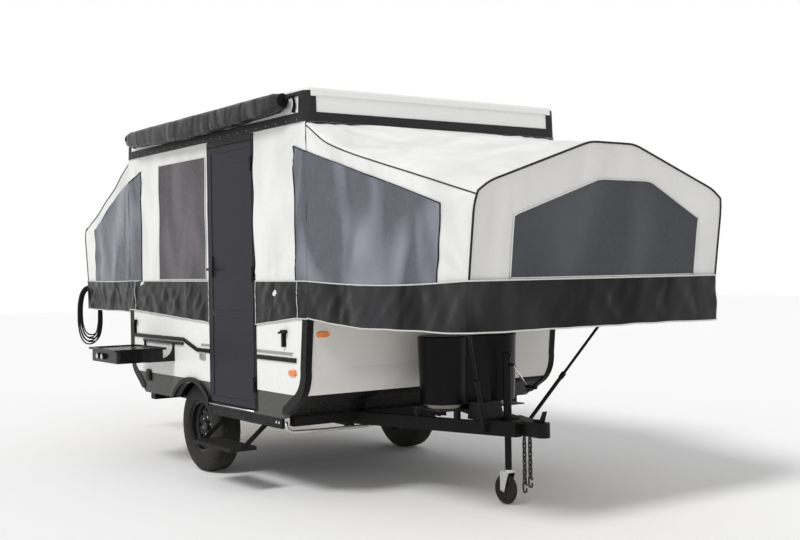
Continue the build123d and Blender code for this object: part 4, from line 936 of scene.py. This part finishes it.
face_lines = (
    ((-720, 1500), (802, 1500)),
    ((-720, 1847), (-690, 1862), (-95, 2066), (-51, 2070), (300, 2070), (355, 2064), (802, 1852)),
)
for tent in tents:
    def on_face(place, height, lift=EDGE_LIFT):
        return face_point(tent, place, height, lift)

    pane = screen_patch(f"screen_{tent.name}_face", lambda place, height: on_face(place, height, 3.5),
                        face_lines, (-720, 802), "screen_dark", 60, 24)
    bound = binding(f"screen_{tent.name}_face_binding", on_face, face_lines, (-720, 802), (30, 12, 50, 12), 0.0045,
                    "piping_white")
    fold_in(pane)
    fold_in(bound)

# %% [markdown]
# The walls come last of the cloth, because their screens use the same helpers. Each wall is a white sheet with
# a dark band below it, pale piping along both edges of the band and a narrow seam where two bands are sewn.

# %% Tent walls and their screens
wall_spans = (
    ("kerb", -1, 0, -1511.5, 48.0),
    ("kerb", -1, 1, 792.0, 1511.5),
    ("road", 1, 0, -1511.5, 1511.5),
)
for name, side, number, start, stop in wall_spans:
    length = stop - start
    places = steps(start, stop, max(12, int(length / 22)))
    rows = [[wall_point(side, ahead, height) for ahead in places] for height in steps(1300.0, 2536.0, 70)]
    wall = sheet_from(f"wall_{name}_{number}", rows, "tent_white")
    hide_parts(f"tent_wall_{name}")
    places = steps(start, stop, max(24, int(length / 12)))
    rows = [[wall_band_point(side, ahead, share) for ahead in places] for share in steps(0.0, 1.0, 22)]
    strip = sheet_from(f"wall_band_{name}_{number}", rows, "band_dark")
    for label, share in (("top", 1.0), ("hem", 0.0)):
        line = [wall_band_point(side, ahead, share, 2.5) for ahead in places]
        tube(f"wall_band_{name}_{number}_{label}", line, 0.0045, "piping_white")
    seams = [place for place in (-1380.0, 1380.0) if start < place < stop]
    if side < 0:
        seams.append(stop - 3.0 if number == 0 else start + 3.0)
    for seam in seams:
        line = [wall_band_point(side, seam + 4.0 * math.sin(share * 7.0), share, 2.0)
                for share in steps(0.0, 1.0, 16)]
        tube(f"wall_seam_{name}_{int(seam)}", line, 0.0032, "piping_white", sides=6)

for name, side, start, stop, look in (
    ("kerb", -1, -860.0, 12.0, "screen_warm"),
    ("road_rear", 1, -1180.0, -260.0, "screen_blue"),
    ("road_front", 1, 260.0, 1180.0, "screen_blue"),
):
    pane_lines = ((start, 1506.0), (stop, 1500.0)), ((start, 2435.0), (stop, 2425.0))
    edge_lines = ((start, 1503.0), (stop, 1503.0)), ((start, 2430.0), (stop, 2430.0))
    pane = screen_patch(f"wall_screen_{name}", lambda place, height: wall_point(side, place, height, 3.0),
                        pane_lines, (start, stop), look, 36, 36)
    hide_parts("tent_windows")
    binding(f"wall_screen_{name}_binding", lambda place, height: wall_point(side, place, height, EDGE_LIFT),
            edge_lines, (start, stop), (24, 24, 24, 24), 0.004, "piping_white")

# %% [markdown]
# The awning is rolled up in a vinyl bag on the roof's side. A bag like this isn't a plain bar: it sags between
# its straps, has flat pressed folds and closed ends. It is lofted from rings along its length, with each
# ring's radius changed by noise and by how near a strap is.

# %% Awning bag
bag_low, bag_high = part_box("awning_bag")
bag_middle, bag_half = (bag_low + bag_high) / 2, (bag_high - bag_low) / 2
strap_places = (0.06, 0.36, 0.66, 0.94)
BAG_SIDES = 40
rings = []
for share in steps(0.0, 1.0, 150):
    x = bag_low.x + (bag_high.x - bag_low.x) * share
    tight = sum(math.exp(-(((share - place) / 0.012) ** 2)) for place in strap_places)
    closed = min(1.0, 0.72 + 9.0 * min(share, 1.0 - share))
    sag = -0.018 - 0.030 * math.sin(math.pi * share) - 0.006 * math.sin(math.pi * share * 6.0) ** 2
    ring = []
    for number, (c, s) in enumerate(circle(BAG_SIDES)):
        angle = 2 * math.pi * number / BAG_SIDES
        square = (abs(c) ** 3 + abs(s) ** 3) ** (-1.0 / 3.0)
        slant = x * 3.4 + 1.3 * s
        fold = 0.060 * noise.noise(Vector((slant, angle * 0.9, 0.4)))
        fold += 0.030 * noise.noise(Vector((slant * 2.6, angle * 2.0, 1.4)))
        size = closed * square * (0.94 + fold - 0.03 * tight)
        outward = min(1.0, size * abs(c)) * (1 if c > 0 else -1)
        upward = min(1.0, max(-1.0, size * s))
        ring.append(Vector((x, bag_middle.y + bag_half.y * outward * 0.99,
                            bag_middle.z + bag_half.z * upward * 0.99 + sag * (s < 0))))
    rings.append(ring)
bag = capped_rings("awning_sleeve", rings, "awning_vinyl")
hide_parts("awning_bag")

# %% [markdown]
# The tyre in CAD is smooth. On the road it has ribs, cross slots and a moulded sidewall, so its outline is
# turned round the axle in many steps and the tread pushed in where a groove runs. The form stays inside the
# CAD tyre, because the grooves only cut into it.

# %% Tyres with tread
AXLE_AHEAD, AXLE_HEIGHT, WHEEL_ACROSS = -279.0, 352.0, 937.0
TYRE_STEPS = 168


def groove(number, across, radius):
    """Depth of the tread in millimetres at a step round the tyre and a place on its outline."""
    place = abs(across)
    if radius > 336:
        if 10 < place < 17 or 42 < place < 49:
            return 8.0
        if place >= 49 and (number + (2 if across > 0 else 0)) % 4 == 0:
            return 7.0
        if place < 42 and (number + int(place // 14)) % 4 == 1:
            return 4.5
    elif radius > 316:
        return 3.0 if number % 4 == 0 else 0.0
    elif 232 < radius < 300:
        return max(0.0, -0.6 * math.sin((radius - 232) / 68.0 * math.pi * 3))
    return 0.0


def tyre_with_tread(name, side, body):
    """A tyre turned round its axle from the outline of its cross-section."""
    centre = at(AXLE_AHEAD, side * WHEEL_ACROSS, AXLE_HEIGHT)
    sidewall = [(-96, 196), (-101, 216), (-103, 240), (-103, 262), (-101, 285), (-97, 305), (-92, 322), (-88, 330),
                (-82, 338), (-74, 345)]
    tread = [(place, 351.0 - 3.5 * (abs(place) / 74.0) ** 2) for place in range(-70, 71, 4)]
    outline = sidewall + tread + [(-across, radius) for across, radius in reversed(sidewall)]
    rings = []
    for number, (c, s) in enumerate(circle(TYRE_STEPS)):
        ring = []
        for across, radius in outline:
            size = (radius - groove(number, across, radius)) / 1000.0
            ring.append(centre + Vector((size * c, across / 1000.0, size * s)))
        rings.append(ring)
    return put(name, flat_list(rings), skin(TYRE_STEPS, len(outline), ring=True, loop=True), "tyre_rubber", body)


for side, label in ((-1, "kerb"), (1, "road")):
    tread = tyre_with_tread(f"tread_{label}", side, f"wheel_{label}")
    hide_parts(f"tyre_{label}")
    nuts = []
    for c, s in circle(6, 0.25):
        spot = at(AXLE_AHEAD + 70.0 * c, side * (WHEEL_ACROSS + 24.0), AXLE_HEIGHT + 70.0 * s)
        nuts.append(button(spot, (0, side, 0), 0.011, 0.016, 6, 0.8))
    joined(f"wheel_nuts_{label}", nuts, "bright_steel", f"wheel_{label}")
    valve = [at(AXLE_AHEAD + 168.0, side * (WHEEL_ACROSS + 34.0), AXLE_HEIGHT),
             at(AXLE_AHEAD + 166.0, side * (WHEEL_ACROSS + 62.0), AXLE_HEIGHT)]
    tube(f"valve_{label}", valve, 0.004, "tyre_rubber", f"wheel_{label}", 8)

# %% [markdown]
# The power cord hangs as a loose hank on the tail. It is one cord of its real length, drawn as a single
# spline whose points are the turns of the hank, because a smooth spline keeps even bends. The turns lie in
# two layers, each a cord's width from the next.

# %% Power cord
CORD_RADIUS = 0.0068
hank_ahead, hank_across, hank_height = -2795.0, -985.0, 1168.0
turns_of_hank = (
    # half width, depth, extra drop at the bottom, sway of the bottom
    (86.0, -9.5, -20.0, 0.0),
    (102.0, -9.5, -2.0, -4.0),
    (117.0, -9.0, 14.0, -6.0),
    (114.0, 9.0, -4.0, 12.0),
    (98.5, 9.5, -22.0, 15.0),
    (83.0, 9.5, -44.0, 10.0),
)
POINTS_PER_TURN = 16
cord_points = []
for number, (width, depth, drop, sway) in enumerate(turns_of_hank):
    next_width, next_depth = turns_of_hank[min(number + 1, len(turns_of_hank) - 1)][:2]
    for step in range(POINTS_PER_TURN):
        share = step / POINTS_PER_TURN
        ease = unit((share - 0.75) * 4)
        w = width + (next_width - width) * ease
        angle = math.pi / 2 + 2 * math.pi * share
        c, s = math.cos(angle), math.sin(angle)
        shape = (abs(c) ** 2.6 + abs(s) ** 2.6) ** (-1 / 2.6)
        low = max(0.0, -s) ** 1.5
        cord_points.append(at(
            hank_ahead + depth + (next_depth - depth) * ease,
            hank_across + w * c * shape + sway * low,
            hank_height + (w + 157.0) * s * shape - drop * low,
        ))
cord_curve = bpy.data.curves.new("shore_cord", "CURVE")
cord_curve.dimensions = "3D"
spline = cord_curve.splines.new("NURBS")
spline.points.add(len(cord_points) - 1)
for point, spot in zip(spline.points, cord_points):
    point.co = (spot.x, spot.y, spot.z, 1.0)
spline.order_u = 3
spline.use_endpoint_u = True
spline.resolution_u = 4
cord_curve.bevel_depth = CORD_RADIUS
cord_curve.bevel_resolution = 3
cord_curve.materials.append(finishes["cable_black"])
shore_cord = place_piece(bpy.data.objects.new("shore_cord", cord_curve), "bunk_rear")
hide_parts("power_cord")
way = (cord_points[-1] - cord_points[-2]).normalized()
plug_line = [cord_points[-1] + way * far for far in (-0.002, 0.01, 0.05, 0.055)]
plug = tube("shore_plug", plug_line, 0.0135, "cable_black", "bunk_rear", 20)
measured = sum((b - a).length for a, b in zip(cord_points, cord_points[1:]))
print("cord route", round(measured, 3), "m in", len(turns_of_hank), "turns")

# %% [markdown]
# What makes a trailer look real from a step away is its small hardware: screws along the mouldings, knobs on
# the cooker, a filler port, a gas pipe under the frame. They are joined meshes of little discs and tubes, so
# that a row of screws is one piece.

# %% Screws, rivets, stripe and knobs
def screw_row(side, places, height, across, radius):
    """A row of screw heads along one side of the trailer."""
    return [button(at(ahead, side * across, height), (0, side, 0), radius, 0.0016, 10) for ahead in places]


belt_places = range(-1380, 1400, 110)
beside_door = [ahead for ahead in belt_places if not 30 < ahead < 810]
belt_screws = screw_row(-1, beside_door, 975.0, 1098.6, 0.0042) + screw_row(1, belt_places, 975.0, 1098.6, 0.0042)
joined("belt_screws", belt_screws, "zinc_steel")
rivet_places = range(-1420, 1421, 142)
rivets = [rivet for side in (-1, 1) for rivet in screw_row(side, rivet_places, 2556.0, 1101.2, 0.004)]
joined("roof_rivets", rivets, "zinc_steel")
stripe = []
for corners in (
    ((-120, 992), (44, 992), (44, 1012), (-106, 1012)),
    ((792, 990), (1290, 990), (1314, 1012), (792, 1012)),
):
    stripe.append(([at(ahead, -1090.9, height) for ahead, height in corners], [(0, 1, 2, 3)]))
joined("side_stripe", stripe, "stripe_grey")
knobs = [button(at(ahead, -1592.0, 898.0), (0, -1, 0), 0.021, 0.004, 28, 0.86) for ahead in (-990.0, -890.0)]
joined("cooker_knob_rings", knobs, "bright_steel")

# %% [markdown]
# Below the floor a black steel rail runs from the wheel to the nose under the door, with bolts at its front
# end, and the gas pipe runs along the foot of the nose. A box with slightly eased edges is enough for such
# bars and small cases, so one helper makes it and the rail, the water port and the socket cover share it.


# %% Rail, port and socket cover
def eased_box(low, high, ease):
    """A box with cut edges, as points and faces. The corners are given in millimetres as at() takes them."""
    one, two = at(*low), at(*high)
    points = []
    for y, pull_in in ((one.y, ease), (one.y + ease, 0.0), (two.y - ease, 0.0), (two.y, ease)):
        x0, x1, z0, z1 = one.x + pull_in, two.x - pull_in, one.z + pull_in, two.z - pull_in
        points += [Vector((x, y, z)) for x, z in (
            (x0 + ease, z0), (x1 - ease, z0), (x1, z0 + ease), (x1, z1 - ease),
            (x1 - ease, z1), (x0 + ease, z1), (x0, z1 - ease), (x0, z0 + ease),
        )]
    sides = [face[::-1] for face in skin(4, 8, ring=True)]
    return points, [tuple(range(8)), tuple(reversed(range(24, 32)))] + sides


joined("sill_rail", [eased_box((62.0, -1087.0, 482.0), (1128.0, -1062.0, 557.0), 0.003)], "chassis_black")
bolts = [button(at(ahead, -1087.0, 524.0), (0, -1, 0), 0.010, 0.007, 6, 0.85) for ahead in (1060.0, 1098.0)]
joined("rail_bolts", bolts, "bright_steel")
port = [
    eased_box((-1170.0, -1104.0, 655.0), (-1075.0, -1090.0, 752.0), 0.006),
    eased_box((-1158.0, -1110.0, 668.0), (-1087.0, -1103.0, 738.0), 0.003),
]
joined("fresh_water_port", port, "door_black")
socket_cover = [
    eased_box((-128.0, -1102.0, 888.0), (-36.0, -1090.0, 948.0), 0.004),
    eased_box((-116.0, -1107.0, 898.0), (-48.0, -1101.0, 936.0), 0.003),
]
joined("socket_cover", socket_cover, "zinc_steel")

# %% [markdown]
# The bars and pipes are tubes along a few points. Besides the strip on the sill, the gas pipe and the jack's
# crank they are the arms that hold the awning's roller and the short levers on the roof latches, which hold
# the lowered roof down on the road. The roller ends in a round plate at each arm.

# %% Bars, pipes, arms and levers
bars = {
    # name: radius, finish, sides, points
    "door_sill_strip": (0.005, "bright_steel", 8, ((62.0, -1112.0, 571.0), (778.0, -1112.0, 571.0))),
    "gas_pipe": (0.012, "zinc_steel", 12, (
        (1136.0, -1056.0, 530.0), (1138.0, -1054.0, 478.0), (1148.0, -1020.0, 458.0), (1158.0, -760.0, 452.0),
        (1170.0, -420.0, 452.0), (1182.0, -330.0, 464.0), (1190.0, -300.0, 500.0))),
    "jack_crank_rod": (0.0075, "bright_steel", 14, ((2271.0, 14.0, 921.0), (2271.0, 114.0, 779.0))),
    "awning_arm_front": (0.011, "door_black", 12, (
        (1344.0, -1158.0, 2690.0), (1372.0, -1140.0, 2704.0), (1392.0, -1110.0, 2712.0), (1398.0, -1104.0, 2650.0),
        (1380.0, -1106.0, 2606.0))),
    "awning_arm_rear": (0.010, "door_black", 12, (
        (-1306.0, -1158.0, 2690.0), (-1326.0, -1140.0, 2700.0), (-1340.0, -1110.0, 2706.0),
        (-1342.0, -1104.0, 2620.0))),
    "latch_lever_rear": (0.008, "door_black", 12, (
        (-1398.0, -1114.0, 1148.0), (-1372.0, -1117.0, 1151.0), (-1338.0, -1117.0, 1146.0))),
    "latch_lever_front": (0.008, "door_black", 12, (
        (1222.0, -1114.0, 1148.0), (1196.0, -1117.0, 1150.0), (1158.0, -1117.0, 1140.0))),
}
for name, (radius, look, sides, places) in bars.items():
    tube(name, [at(*place) for place in places], radius, look, sides=sides)

caps = []
for x, facing in ((bag_low.x, -1.0), (bag_high.x, 1.0)):
    centre = Vector((x - facing * 0.004, bag_middle.y, bag_middle.z))
    caps.append(button(centre, (facing, 0, 0), 0.046, 0.010, 32, 0.9))
    caps.append(button(centre + Vector((facing * 0.009, 0, 0)), (facing, 0, 0), 0.018, 0.006, 20, 0.8))
joined("awning_end_caps", caps, "door_black")
